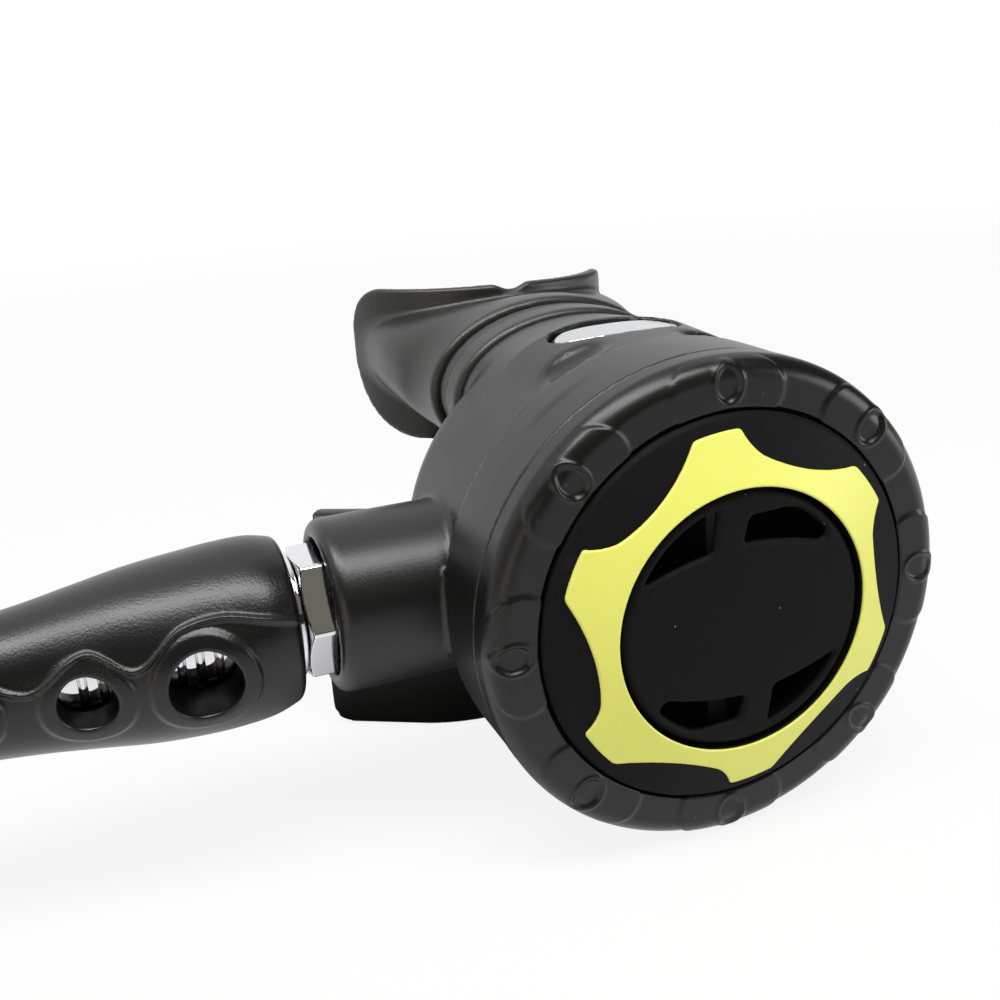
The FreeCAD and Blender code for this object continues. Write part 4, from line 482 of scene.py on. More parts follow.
# Exhaust tee: a hollow moulding behind the case, open at the ends of its swept wings, pressed over
# the case's collar.
TEE_FRONT, TEE_KNEE, TEE_HALF, TEE_DEEP, TEE_TOP = 0.0484, 0.0260, 0.0460, 0.0160, 0.0044
TEE_LEAN = math.radians(31.0)
TEE_SLOPE, TEE_DROP, TEE_WALL = 0.0110, 0.0090, 0.0015
TEE_BEVEL, TEE_RISE, TEE_OPEN, TEE_HOLE = 0.0030, 0.0020, 0.004, (0.045, 0.055)
KNEE_ROUND, BEVEL_ROUND, TEE_ROUND, TEE_INNER_ROUND = 0.004, 0.0015, 0.0016, 0.0006


def tee_block(p, margin, reach, radius):
    """The tee's block, its walls moved in by margin and its wings longer by reach."""
    x, y, z = np.abs(p[..., 0]), p[..., 1], p[..., 2]
    foot = -axis_z - z
    sweep = (y - TEE_FRONT) * math.cos(TEE_LEAN) - (x - TEE_KNEE) * math.sin(TEE_LEAN)
    front = meet(TEE_FRONT - y, -sweep, KNEE_ROUND)
    back = join(y - TEE_FRONT - TEE_DEEP, sweep - TEE_DEEP, KNEE_ROUND)
    end_y = TEE_FRONT + (TEE_HALF - TEE_KNEE) * math.tan(TEE_LEAN)
    end = (x - TEE_HALF) * math.cos(TEE_LEAN) + (y - end_y) * math.sin(TEE_LEAN) - reach
    bevel = end * TEE_RISE + foot * TEE_BEVEL + TEE_RISE * TEE_BEVEL
    end = meet(end, bevel / math.hypot(TEE_RISE, TEE_BEVEL), BEVEL_ROUND)
    behind = np.minimum(y - TEE_FRONT, sweep) - (TEE_DEEP - TEE_SLOPE)
    slope = ((z - TEE_TOP) * TEE_SLOPE + behind * TEE_DROP) / math.hypot(TEE_SLOPE, TEE_DROP)
    top = meet(meet(z - TEE_TOP, slope, radius), foot, radius)
    walls = meet(meet(front, back, radius) + margin, top + margin, radius)
    return meet(walls, end, CRISP)


def tee_field(p):
    outside = tee_block(p, 0, 0, TEE_ROUND)
    inside = tee_block(p, TEE_WALL, TEE_OPEN, TEE_INNER_ROUND)
    hole = bar(p, 1, COLLAR_RADIUS, *TEE_HOLE, SHARP, PORT_AT)
    return cut(cut(outside, inside, CRISP), hole, SHARP)


tee_finish = moulded("tee_plastic", (0.003, 0.003, 0.003), (0.03, 0.03, 0.03), rough=0.36,
                     scale=2600.0, depth=0.20, dusty=0.01, specular=0.35)
tee = skin("exhaust_body", tee_field, (-0.052, 0.047, -0.037), (0.052, 0.078, 0.006), 0.0007)
fit(tee, tee_finish, "black_plastic", "stage", "exhaust_tee")

# Mouthpiece: soft silicone pulled over the case's oval tube. Its neck has two beads, swells behind
# them and ends in a curved bite flange with a notch for the lip and two bite tabs inside.
NECK_WIDE, NECK_TALL, NECK_FRONT, NECK_END, NECK_ROUND = 0.0206, 0.0129, 0.05055, 0.0640, 0.0006
BEAD_WIDE, BEAD_TALL, BEAD_FRONT, BEAD_ROUND = 0.0214, 0.0137, 0.0601, 0.0012
BITE_BACK, BITE_WIDE, BITE_TALL, BITE_FRONT = 0.0960, 0.0156, 0.0082, 0.06
DOME_DEPTHS = [BEAD_FRONT, 0.0650, 0.0690, 0.0730, 0.0775, 0.0880, BITE_BACK]
DOME_WIDES = [0.0224, 0.0225, 0.0232, 0.0245, 0.0252, 0.0256, 0.0258]
DOME_TOPS = [0.0145, 0.0145, 0.0139, 0.0130, 0.0122, 0.0116, 0.0114]
DOME_FEET = [0.0145, 0.0144, 0.0136, 0.0125, 0.0114, 0.0102, 0.0100]
DOME_MIDDLES = [0.0, 0.0, 0.0003, 0.0009, 0.0014, 0.0020, 0.0020]
DOME_POWERS = [2.0, 2.0, 2.15, 2.5, 3.0, 3.8, 3.8]
DOME_ROUND, FOOT_POWER, SEAT_PLAY = 0.0014, 2.1, 0.00005
ARCH_RADIUS, ARCH_FRONT, FLANGE_WALL, FLANGE_FILLET = 0.0280, 0.0760, 0.0022, 0.0012
FLANGE_TALL, FLANGE_LOW, FLANGE_ROUND, FLANGE_TURN = 0.0152, 0.0139, 0.0090, 0.0165
FLANGE_FALL = 0.050
NOTCH_RADIUS, NOTCH_DEEP, NOTCH_FRONT = 0.0040, 0.0012, 0.07
TAB_FRONT, TAB_INNER, TAB_OUTER, TAB_HALF = 0.002, 0.0158, 0.028, 0.0018
LUG_OUTER, LUG_HALF, LUG_DEEP, LUG_ROUND, LUG_FILLET = 0.0194, 0.0056, 0.009, 0.0012, 0.0010
TIE_DEPTH, TIE_WIDTH, TIE_THICK, TIE_SUNK, TIE_GAP = 0.0560, 0.0034, 0.0010, 0.00025, 0.00028
GROOVE_EDGE = 0.0001
ARCH_AT = (0, ARCH_FRONT + ARCH_RADIUS, 0)


def curve_through(x, places, values):
    """Smooth curve through a few points."""
    places, values = np.array(places), np.array(values)
    slopes = np.gradient(values, places)
    i = np.clip(np.searchsorted(places, x) - 1, 0, len(places) - 2)
    span = places[i + 1] - places[i]
    t = np.clip((x - places[i]) / span, 0, 1)
    rise = t * t * (3 - 2 * t)
    return (values[i] * (1 - rise) + values[i + 1] * rise
            + span * t * (1 - t) * (slopes[i] * (1 - t) - slopes[i + 1] * t))


def mouth_body(p):
    """Neck with its beads, and the swelling behind them."""
    x, y, z = p[..., 0], p[..., 1], p[..., 2] - TUBE_UP
    neck = meet(oval(p, NECK_WIDE, NECK_TALL), slab(p, 1, NECK_FRONT, NECK_END), NECK_ROUND)
    bead = meet(oval(p, BEAD_WIDE, BEAD_TALL), slab(p, 1, NECK_FRONT, TIE_DEPTH + TIE_WIDTH),
                BEAD_ROUND)
    wide, top, foot, middle, power = [
        curve_through(y, DOME_DEPTHS, values)
        for values in (DOME_WIDES, DOME_TOPS, DOME_FEET, DOME_MIDDLES, DOME_POWERS)]
    tall = np.where(z > middle, top - middle, foot + middle)
    level = np.stack([x, y, z - middle + TUBE_UP], axis=-1)
    dome = oval(level, wide, tall, np.where(z > middle, power, FOOT_POWER))
    dome = meet(dome, slab(p, 1, BEAD_FRONT, BITE_BACK), DOME_ROUND)
    return np.minimum(np.minimum(neck, bead), dome)


def flange_outline(p):
    """Outline of the bite flange, measured along its curve, rounder at the foot."""
    x, y, z = p[..., 0], p[..., 1], p[..., 2] - TUBE_UP
    round_arch = ARCH_RADIUS * np.arctan2(np.abs(x), ARCH_AT[1] - y)
    end = round_arch - ARCH_RADIUS * math.acos((ARCH_AT[1] - BITE_BACK) / ARCH_RADIUS)
    rim = FLANGE_TALL - FLANGE_FALL * np.maximum(x, 0)
    return np.where(z > 0, meet(end, z - rim, FLANGE_ROUND),
                    meet(end, -FLANGE_LOW - z, FLANGE_TURN))


def bite_tabs(p):
    """The two tabs inside the flange, each with a lug that the teeth hold."""
    z = p[..., 2] - TUBE_UP
    tab = np.maximum(slab(p, 0, -TAB_OUTER, TAB_OUTER), np.abs(z) - TAB_HALF)
    tab = np.maximum(tab, TAB_INNER - np.abs(p[..., 0]))
    tab = meet(tab, slab(p, 1, ARCH_FRONT + TAB_FRONT, BITE_BACK), SOFT)
    lug = meet(slab(np.abs(p), 0, TAB_INNER, LUG_OUTER), np.abs(z) - LUG_HALF, LUG_ROUND)
    lug = meet(lug, slab(p, 1, BITE_BACK - LUG_DEEP, BITE_BACK), LUG_ROUND)
    return np.maximum(join(tab, lug, LUG_FILLET), rod(p, 2, ARCH_RADIUS - FLANGE_WALL / 2, ARCH_AT))


def mouth_field(p):
    y = p[..., 1]
    arch = rod(p, 2, ARCH_RADIUS, ARCH_AT)
    inner = rod(p, 2, ARCH_RADIUS - FLANGE_WALL, ARCH_AT)
    plate = meet(cut(arch, inner, SOFT), np.maximum(flange_outline(p), y - BITE_BACK), SOFT)
    solid = cut(join(mouth_body(p), plate, FLANGE_FILLET), inner, SOFT)
    notch = rod(p, 1, NOTCH_RADIUS, (0, 0, TUBE_UP + FLANGE_TALL + NOTCH_RADIUS - NOTCH_DEEP))
    solid = cut(solid, np.maximum(notch, NOTCH_FRONT - y), SOFT)
    step = SEAT_STEP - SEAT_PLAY
    seat = meet(oval(p, TUBE_WIDES[-1] - step, TUBE_TALLS[-1] - step), slab(p, 1, 0, TUBE_END),
                SHARP)
    air = meet(oval(p, BITE_WIDE, BITE_TALL), slab(p, 1, BITE_FRONT, FAR), SHARP)
    solid = cut(cut(solid, seat, CRISP), air, SOFT)
    groove = meet(-oval(p, BEAD_WIDE - TIE_THICK, BEAD_TALL - TIE_THICK),
                  slab(p, 1, TIE_DEPTH, BEAD_FRONT), GROOVE_EDGE)
    return join(cut(solid, groove, FINE), bite_tabs(p), SOFT)


silicone = moulded("silicone", (0.014, 0.014, 0.0135), (0.04, 0.04, 0.038), rough=0.38,
                   scale=3400.0, depth=0.25, dusty=0.05, wear=0.5, specular=0.6)
mouthpiece = skin("mouthpiece_rubber", mouth_field, (-0.030, 0.049, 0.006), (0.030, 0.098, 0.039),
                  0.0007)
fit(mouthpiece, silicone, "silicone", "stage", "mouthpiece")

# Tie: a nylon strap round the mouthpiece's neck, pulled into its groove through a small lock block
# on the right.
TIE_PLAY, LOCK_SUNK, LOCK_PROUD, LOCK_HALF = 0.00005, 0.0004, 0.0028, 0.0027


def tie_field(p):
    outer = oval(p, BEAD_WIDE - TIE_SUNK, BEAD_TALL - TIE_SUNK)
    inner = oval(p, BEAD_WIDE - TIE_THICK + TIE_PLAY, BEAD_TALL - TIE_THICK + TIE_PLAY)
    run = slab(p, 1, TIE_DEPTH + TIE_GAP, TIE_DEPTH + TIE_WIDTH - TIE_GAP)
    band = meet(cut(outer, inner, SHARP), run, FINE)
    lock = meet(slab(p, 0, BEAD_WIDE - LOCK_SUNK, BEAD_WIDE + LOCK_PROUD),
                slab(p, 2, TUBE_UP - LOCK_HALF, TUBE_UP + LOCK_HALF), CRISP)
    return join(band, meet(lock, run, CRISP), FINE)


nylon = moulded("nylon", (0.016, 0.016, 0.017), (0.06, 0.06, 0.06), rough=0.38, scale=1800.0,
                depth=0.10, dusty=0.01, spread=0.08)
tie = skin("tie_strap", tie_field, (-0.024, 0.0555, 0.006), (0.0265, 0.0600, 0.0375), 0.00035)
fit(tie, nylon, "black_plastic", "stage", "mouthpiece_tie")

# Nameplate: a bare lens of bright metal, pressed into the pocket on the tube's saddle, its face a
# little below the plastic round it.
PLATE_EDGE = 0.00025


def plate_field(p):
    lens = np.maximum(plate_top(p), -plate_top(p) - PLATE_THICK)
    return meet(plate_rim(p, 0), np.maximum(lens, TUBE_UP - p[..., 2]), PLATE_EDGE)


def metal(name, colour, rough, scale, depth, spread=0.10):
    """Bare or plated metal with a faint uneven polish."""
    material, tree, shader = new_material(name, Base_Color=(*colour, 1), Metallic=1.0)
    grained(tree, shader, rough, scale, depth, spread)
    return material


bright = metal("bright_plate", (0.62, 0.63, 0.65), rough=0.22, scale=900.0, depth=0.05)
nameplate = skin("nameplate_lens", plate_field, (-0.0115, 0.0280, 0.0300), (0.0115, 0.0390, 0.0360),
                 0.0002)
fit(nameplate, bright, "plate_metal", "stage", "nameplate")

# Valve group, lever, plug, seals and diaphragm: the working parts inside the case. Turned brass and
# pressed steel, a moulded grille and plate, and soft seals keep the shape of their solids.
plain_steel = metal("steel", (0.56, 0.57, 0.58), rough=0.30, scale=1200.0, depth=0.10, spread=0.15)
plated = metal("inner_chrome", (0.70, 0.70, 0.71), rough=0.16, scale=700.0, depth=0.05)
inner_plastic = moulded("inner_plastic", (0.03, 0.03, 0.032), (0.09, 0.09, 0.09), rough=0.5,
                        scale=2000.0, depth=0.15, dusty=0.01)
membrane = moulded("membrane", (0.022, 0.022, 0.022), (0.05, 0.05, 0.05), rough=0.6, scale=3000.0,
                   depth=0.2, dusty=0.01)
for material, slot, nodes in (
        (plated, "chrome", ("valve_tube", "orifice")),
        (plain_steel, "steel", ("poppet_spring", "lever_washer", "lever_nut", "demand_lever")),
        (inner_plastic, "inner_plastic", ("poppet", "end_plug", "diaphragm_plate", "cover_grille")),
        (membrane, "silicone", ("poppet_seat", "tube_oring", "orifice_oring", "end_plug_oring",
                                "stem_oring", "fitting_oring", "exhaust_valve")),
        (membrane, "diaphragm_rubber", ("diaphragm",))):
    for node in nodes:
        fit(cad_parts[node], material, slot, None)

# Front cover: a matt black elastomer disc held under the ring's lip, open in the middle for the
# button.
COVER_INNER, COVER_BROW, COVER_SLOPE = 0.0193, -0.0039, 0.383
COVER_START, COVER_SHOULDER, COVER_EDGE = 0.0220, 0.0281, 0.02865


def rounded(corners, radii, pieces=6):
    """Polyline with each inner corner turned into an arc of its radius."""
    points = [Vector(corners[0])]
    for before, corner, after, radius in zip(corners, corners[1:], corners[2:], radii):
        corner = Vector(corner)
        start, end = (Vector(before) - corner).normalized(), (Vector(after) - corner).normalized()
        half = start.angle(end) / 2
        if radius == 0:
            points.append(corner)
            continue
        middle = corner + (start + end).normalized() * (radius / math.sin(half))
        first = corner + start * (radius / math.tan(half)) - middle
        last = corner + end * (radius / math.tan(half)) - middle
        for step in range(pieces + 1):
            arm = first.lerp(last, step / pieces).normalized()
            points.append(middle + arm * radius)
    points.append(Vector(corners[-1]))
    return points


def turned(name, line, along, steps, at=(0, 0, 0), relief=None):
    """Ring swept from a closed or open profile of (radius, place along the axis)."""
    profile = np.array([tuple(point) for point in line])
    angles = np.arange(steps) * (2 * math.pi / steps)
    radius, place_along = profile[:, 0], profile[:, 1]
    rows, turns = np.meshgrid(np.arange(len(profile)), angles, indexing="ij")
    radii, places = radius[rows], place_along[rows]
    if relief is not None:
        ahead = np.roll(profile, -1, axis=0) - np.roll(profile, 1, axis=0)
        ahead /= np.linalg.norm(ahead, axis=1)[:, None]
        raised = relief(radii, places, turns)
        radii = radii + raised * ahead[rows, 1]
        places = places - raised * ahead[rows, 0]
    points = np.zeros(radii.shape + (3,))
    first, second = [axis for axis in range(3) if axis != along]
    points[..., along] = places
    points[..., first] = radii * np.cos(turns)
    points[..., second] = radii * np.sin(turns)
    number = np.arange(radii.size).reshape(radii.shape)
    below = np.roll(number, -1, axis=0)
    corners = [number, np.roll(number, -1, axis=1), np.roll(below, -1, axis=1), below]
    faces = np.stack(corners if along == 1 else corners[::-1], axis=-1).reshape(-1, 4)
    return smooth_piece(name, points.reshape(-1, 3) + np.array(at), faces.tolist())


def cover_height(radius):
    """Place of the cover's sloping front, which falls back from the window to the ring."""
    return COVER_BROW + COVER_SLOPE * (radius - COVER_INNER)


cover_line = rounded([
    (COVER_START, cover_height(COVER_START)), (COVER_SHOULDER, cover_height(COVER_SHOULDER)),
    (COVER_EDGE, 0.0001), (COVER_EDGE, 0.0018), (0.0311, 0.0018), (0.0311, 0.0035),
    (0.0262, 0.0035), (0.0262, 0.0010), (0.0222, -0.0007), (COVER_INNER, -0.0007),
    (COVER_INNER, COVER_BROW),
    (COVER_START, cover_height(COVER_START))],
    [0.0006, SHARP, SHARP, FINE, FINE, FINE, FINE, SHARP, SHARP, FINE])[:-1]
elastomer = moulded("elastomer", (0.0050, 0.0056, 0.0053), (0.02, 0.02, 0.02), rough=0.60,
                    scale=3000.0, depth=0.35, dusty=0.05, wear=0.4, spread=0.12, specular=0.09)
cover = turned("cover_disc", cover_line, 1, 240)
fit(cover, elastomer, "black_elastomer", "stage", "front_cover")

# Gear ring: a thin moulded ring laid on the cover's slope, with six teeth. Each tooth has a steep
# flank on one side and runs out into the wide hollow on the other.
GEAR_TIP, GEAR_VALLEY, GEAR_HOLLOW, GEAR_WINDOW = 0.0267, 0.0222, 0.0330, 0.0192
GEAR_THICK, GEAR_SUNK, GEAR_TURN, GEAR_TEETH = 0.00045, 0.0001, math.radians(4.6), 6
HOLLOW_TURN, TOOTH_MIDDLE = math.radians(17.0), math.radians(-10.3)
FLANK_TIP, FLANK_FOOT, FLANK_ROUND = (-0.00116, 0.02662), (0.00049, 0.02330), 0.0013


def beyond(x, z, start, end):
    """Distance to the right of the line from start to end."""
    run, rise = end[0] - start[0], end[1] - start[1]
    return ((x - start[0]) * rise - (z - start[1]) * run) / math.hypot(run, rise)


def gear_field(p):
    radius = np.hypot(p[..., 0], p[..., 2])
    step = 2 * math.pi / GEAR_TEETH
    angle = np.arctan2(p[..., 0], p[..., 2]) - GEAR_TURN
    folded = np.mod(angle - TOOTH_MIDDLE, step) + TOOTH_MIDDLE
    off = folded - HOLLOW_TURN
    reach = radius * np.cos(off) - GEAR_VALLEY - GEAR_HOLLOW
    hollow = np.hypot(radius * np.sin(off), reach) - GEAR_HOLLOW
    flank = -beyond(radius * np.sin(folded), radius * np.cos(folded), FLANK_FOOT, FLANK_TIP)
    hollow = meet(hollow, flank, FLANK_ROUND)
    outline = cut(radius - GEAR_TIP, hollow, CRISP)
    outline = np.maximum(outline, GEAR_WINDOW - radius)
    rise = (cover_height(radius) - p[..., 1]) / math.hypot(1, COVER_SLOPE)
    return meet(outline, np.maximum(rise - GEAR_THICK, -rise - GEAR_SUNK), FINE)


yellow = moulded("yellow_plastic", (0.73, 0.735, 0.135), (0.82, 0.83, 0.28), rough=0.42,
                 scale=1800.0, depth=0.06, dusty=0.0, spread=0.08)
gear = skin("gear_teeth", gear_field, (-0.0275, -0.0048, -0.0275), (0.0275, -0.0004, 0.0275),
            0.00022)
fit(gear, yellow, "yellow_plastic", "stage", "gear_ring")

# Purge button: a pillow-shaped elastomer disc with four vents and a flange behind the cover, whose
# stem presses the diaphragm's plate.
BUTTON_RADIUS, BUTTON_FRONT, BUTTON_BROW = 0.01895, -0.0044, -0.0039
BUTTON_ROUND, BUTTON_WALL, BUTTON_INNER_ROUND = 0.0016, 0.0016, 0.0006
SKIRT_INNER, SKIRT_OUTER, SKIRT_HALF = 0.0173, 0.0210, 0.0005
STEM_RADIUS, STEM_SUNK, STEM_END = 0.0046, 0.0009, 0.0109
VENT_OUTER, VENT_CURVE, VENT_ROUND, VENT_DEEP, VENT_EDGE = 0.0171, 0.0430, 0.0007, 0.0006, 0.0009
LEFT_TOP, LEFT_FOOT, LEFT_TIP = (-0.00395, 0.01660), (-0.00480, 0.01080), (-0.01480, 0.00810)
RIGHT_TOP, RIGHT_FOOT, RIGHT_TIP = (0.00095, 0.01500), (-0.00005, 0.01140), (0.01240, 0.00940)
RIGHT_CREST, RIGHT_END = (0.00790, 0.01520), (0.01340, 0.01080)


def above_band(x, z, start, end):
    """Outside field of the shallow arc from start to end, negative above it."""
    chord = np.array(end) - np.array(start)
    half = np.linalg.norm(chord) / 2
    down = np.array([chord[1], -chord[0]]) / (2 * half)
    hub = (np.array(start) + np.array(end)) / 2 + down * math.sqrt(VENT_CURVE**2 - half**2)
    return VENT_CURVE - np.hypot(x - hub[0], z - hub[1])


def vent_field(p):
    """The two vents above the middle and, turned half way round, the two below it."""
    side = np.where(p[..., 2] < 0, -1, 1)
    x, z = p[..., 0] * side, p[..., 2] * side
    rim = np.hypot(x, z) - VENT_OUTER
    left = meet(meet(rim, beyond(x, z, LEFT_FOOT, LEFT_TOP), VENT_ROUND),
                above_band(x, z, LEFT_TIP, LEFT_FOOT), VENT_ROUND)
    right = meet(meet(rim, -beyond(x, z, RIGHT_TOP, RIGHT_CREST), VENT_ROUND),
                 -beyond(x, z, RIGHT_FOOT, RIGHT_TOP), VENT_ROUND)
    right = meet(right, meet(above_band(x, z, RIGHT_FOOT, RIGHT_TIP),
                             beyond(x, z, RIGHT_TIP, RIGHT_END), VENT_ROUND), VENT_ROUND)
    return np.maximum(np.minimum(left, right), p[..., 1] - VENT_DEEP)


def button_field(p):
    y, radius = p[..., 1], np.hypot(p[..., 0], p[..., 2])
    bulge = (radius / (BUTTON_RADIUS - BUTTON_ROUND))**2
    face = BUTTON_FRONT + (BUTTON_BROW - BUTTON_FRONT) * bulge
    cap = meet(radius - BUTTON_RADIUS, np.maximum(face - y, y - SKIRT_HALF), BUTTON_ROUND)
    hollow = meet(radius - BUTTON_RADIUS + BUTTON_WALL, face + BUTTON_WALL - y, BUTTON_INNER_ROUND)
    skirt = meet(np.maximum(radius - SKIRT_OUTER, SKIRT_INNER - radius),
                 slab(p, 1, -SKIRT_HALF, SKIRT_HALF), FINE)
    stem = meet(radius - STEM_RADIUS, slab(p, 1, BUTTON_FRONT + STEM_SUNK, STEM_END), CRISP)
    shell = np.minimum(np.minimum(cut(cap, hollow, SHARP), skirt), stem)
    return cut(shell, vent_field(p), VENT_EDGE)


button = skin("button_cap", button_field, (-0.0215, -0.005, -0.0215), (0.0215, 0.0115, 0.0215),
              0.0003)
fit(button, elastomer, "black_elastomer", "purge", "purge_button")

# Cover ring: a satin black moulding screwed onto the case. Eight grip pads with rounded ends stand
# proud of its face, each with a dished oval.
RING_RADIUS, RING_MOUTH, RING_BACK, RING_CORNER = 0.0360, 0.0289, 0.0060, 0.0032
PADS, PAD_HEIGHT, PAD_GAP = 8, 0.0003, math.radians(15.5)
PAD_END, PAD_ARC, PAD_EDGE = 0.0047, math.radians(30), 0.0011
FACE_DEPTH, FACE_FADE, MOUTH_FADE = 0.0022, 0.0024, 0.0002
OVAL_ALONG, OVAL_ACROSS, OVAL_RADIUS, OVAL_FADE = 0.0021, 0.0027, 0.0325, 0.0010
LIP_WIDE, LIP_TALL, DISH_DEEP, DISH_EDGE, DISH_IN = 0.00035, 0.00028, 0.0004, 0.0008, 0.0002


def resampled(line, pitch):
    """The same closed line with points at most a pitch apart."""
    points = []
    for point, following in zip(line, line[1:] + line[:1]):
        count = max(1, math.ceil((following - point).length / pitch))
        points += [point.lerp(following, step / count) for step in range(count)]
    return points


def ramp(value, width):
    """0 to 1 over a width about zero, smooth at both ends."""
    t = np.clip(value / width + 0.5, 0, 1)
    return t * t * (3 - 2 * t)


def ring_relief(radius, place_along, angle):
    """Height of the ring's face: pads with gaps between them, and a lipped, dished oval on each."""
    step = 2 * math.pi / PADS
    folded = np.mod(angle + step / 2, step) - step / 2
    across = (radius - RING_MOUTH) - PAD_END / 2
    bulge = np.sqrt(np.maximum(PAD_END**2 - across**2, 0)) - PAD_END * math.cos(PAD_ARC)
    half = radius * math.sin((step - PAD_GAP) / 2) + bulge
    on_front = (ramp(FACE_DEPTH - place_along, FACE_FADE)
                * ramp(radius - RING_MOUTH + MOUTH_FADE / 2, MOUTH_FADE))
    pad = ramp(half - np.abs(radius * np.sin(folded)), PAD_EDGE) * on_front
    oval_at = np.hypot(radius * np.sin(folded) / OVAL_ALONG, (radius - OVAL_RADIUS) / OVAL_ACROSS)
    off = (oval_at - 1) * OVAL_ALONG
    on_face = ramp(FACE_DEPTH - place_along, OVAL_FADE)
    lip = np.exp(-(off / LIP_WIDE)**2) * LIP_TALL * on_face
    dish = ramp(-off - DISH_IN, DISH_EDGE) * DISH_DEEP * on_face
    return PAD_HEIGHT * (pad - 1) * on_front + lip - dish


ring_line = resampled(rounded([
    (0.0320, 0.0), (RING_RADIUS, 0.0), (RING_RADIUS, RING_BACK), (0.0330, RING_BACK),
    (0.0330, 0.0094), (0.0314, 0.0094), (0.0314, 0.0016), (RING_MOUTH, 0.0016), (RING_MOUTH, 0.0),
    (0.0320, 0.0)],
    [RING_CORNER, FINE, SHARP, FINE, FINE, SHARP, FINE, 0.0005], 16)[:-1], 0.00022)
satin = moulded("satin_plastic", (0.0045, 0.0047, 0.0045), (0.03, 0.03, 0.030), rough=0.31,
                scale=2400.0, depth=0.12, wear=0.4, spread=0.08, specular=0.42)
ring = turned("ring_moulding", ring_line, 1, 900, relief=ring_relief)
fit(ring, satin, "black_plastic", "ring", "cover_ring")

# Hose nut, stem and ferrule: chromed brass. The nut draws the stem's flange onto the inlet, a thin
# collar on the stem meets the sleeve, and the crimped ferrule grips the hose inside it.
NUT_FLATS, NUT_START, NUT_END, NUT_BEVEL = 0.0175, -0.0552, -0.0496, 0.0014
NUT_CORNER, NUT_EDGE, NUT_BORE = 0.0004, 0.00015, 0.0049
NUT_MOUTH, NUT_MOUTH_DEEP, NUT_MOUTH_EDGE = 0.00715, 0.0014, 0.0001


def hexagon(p):
    """Endless six-sided bar along the barrel's axis."""
    y, z = p[..., 1] - BARREL_DEPTH, p[..., 2]
    sides = [np.abs(y * math.sin(angle) + z * math.cos(angle)) - NUT_FLATS / 2
             for angle in (0, math.pi / 3, -math.pi / 3)]
    return meet(meet(sides[0], sides[1], NUT_CORNER), sides[2], NUT_CORNER)


def nut_field(p):
    radius = rod(p, 0, 0, BARREL_AT)
    corner = NUT_FLATS / math.sqrt(3)
    middle, half = (NUT_START + NUT_END) / 2, (NUT_END - NUT_START) / 2
    cone = (radius - corner + NUT_BEVEL + (np.abs(p[..., 0] - middle) - half) * 2) / math.sqrt(5)
    body = meet(hexagon(p), slab(p, 0, NUT_START, NUT_END), NUT_EDGE)
    body = meet(body, cone, NUT_EDGE)
    mouth = meet(radius - NUT_MOUTH, NUT_START + NUT_MOUTH_DEEP - p[..., 0], NUT_MOUTH_EDGE)
    return cut(cut(body, mouth, SHARP), radius - NUT_BORE, SHARP)


chrome = metal("chrome", (0.80, 0.80, 0.82), rough=0.07, scale=500.0, depth=0.03, spread=0.06)
nut = skin("nut_hexagon", nut_field, (-0.0556, 0.0200, -0.0107), (-0.0492, 0.0416, 0.0107), 0.00022)
fit(nut, chrome, "chrome", "nut", "hose_nut")
stem_line = rounded([
    (0.0002, -0.0482), (0.00465, -0.0482), (0.00465, -0.0531), (0.0067, -0.0531), (0.0067, -0.0537),
    (0.0048, -0.0537), (0.0048, -0.0554), (0.0093, -0.0554), (0.0093, -0.0563), (0.0040, -0.0563),
    (0.0040, -0.0651), (0.0002, -0.0651)],
    [CRISP, 0.0001, SHARP, SHARP, 0.0001, 0.0001, FINE, FINE, 0.0001, SHARP])
stem = turned("stem_turned", stem_line, 0, 96, BARREL_AT)
fit(stem, chrome, "chrome", "stage", "hose_stem")
CRIMP_FIRST, CRIMP_PITCH, CRIMPS, CRIMP_DEEP = 0.0651, 0.0026, 9, 0.0005
CRIMP_HALF, CRIMP_FLOOR, CRIMP_ROUND = 0.0006, 0.0003, 0.00015
FERRULE_RADIUS, FERRULE_TAIL, FERRULE_BORE, TAIL_BORE = 0.0079, 0.0066, 0.0041, 0.0061
FERRULE_START, FERRULE_END = -0.0564, -0.1040
ferrule_corners = [(FERRULE_BORE, FERRULE_START), (FERRULE_RADIUS, FERRULE_START)]
for crimp in range(CRIMPS):
    groove, floor_radius = -CRIMP_FIRST - CRIMP_PITCH * crimp, FERRULE_RADIUS - CRIMP_DEEP
    ferrule_corners += [(FERRULE_RADIUS, groove + CRIMP_HALF), (floor_radius, groove + CRIMP_FLOOR),
                        (floor_radius, groove - CRIMP_FLOOR), (FERRULE_RADIUS, groove - CRIMP_HALF)]
ferrule_corners += [(FERRULE_TAIL, FERRULE_END), (TAIL_BORE, FERRULE_END),
                    (FERRULE_BORE, FERRULE_START)]
ferrule_line = rounded(ferrule_corners,
                       [CRISP] + [CRIMP_ROUND] * (4 * CRIMPS) + [0.0006, 0.0001], 3)[:-1]
ferrule = turned("ferrule_crimped", ferrule_line, 0, 96, BARREL_AT)
fit(ferrule, chrome, "chrome", "stage", "crimp_ferrule")

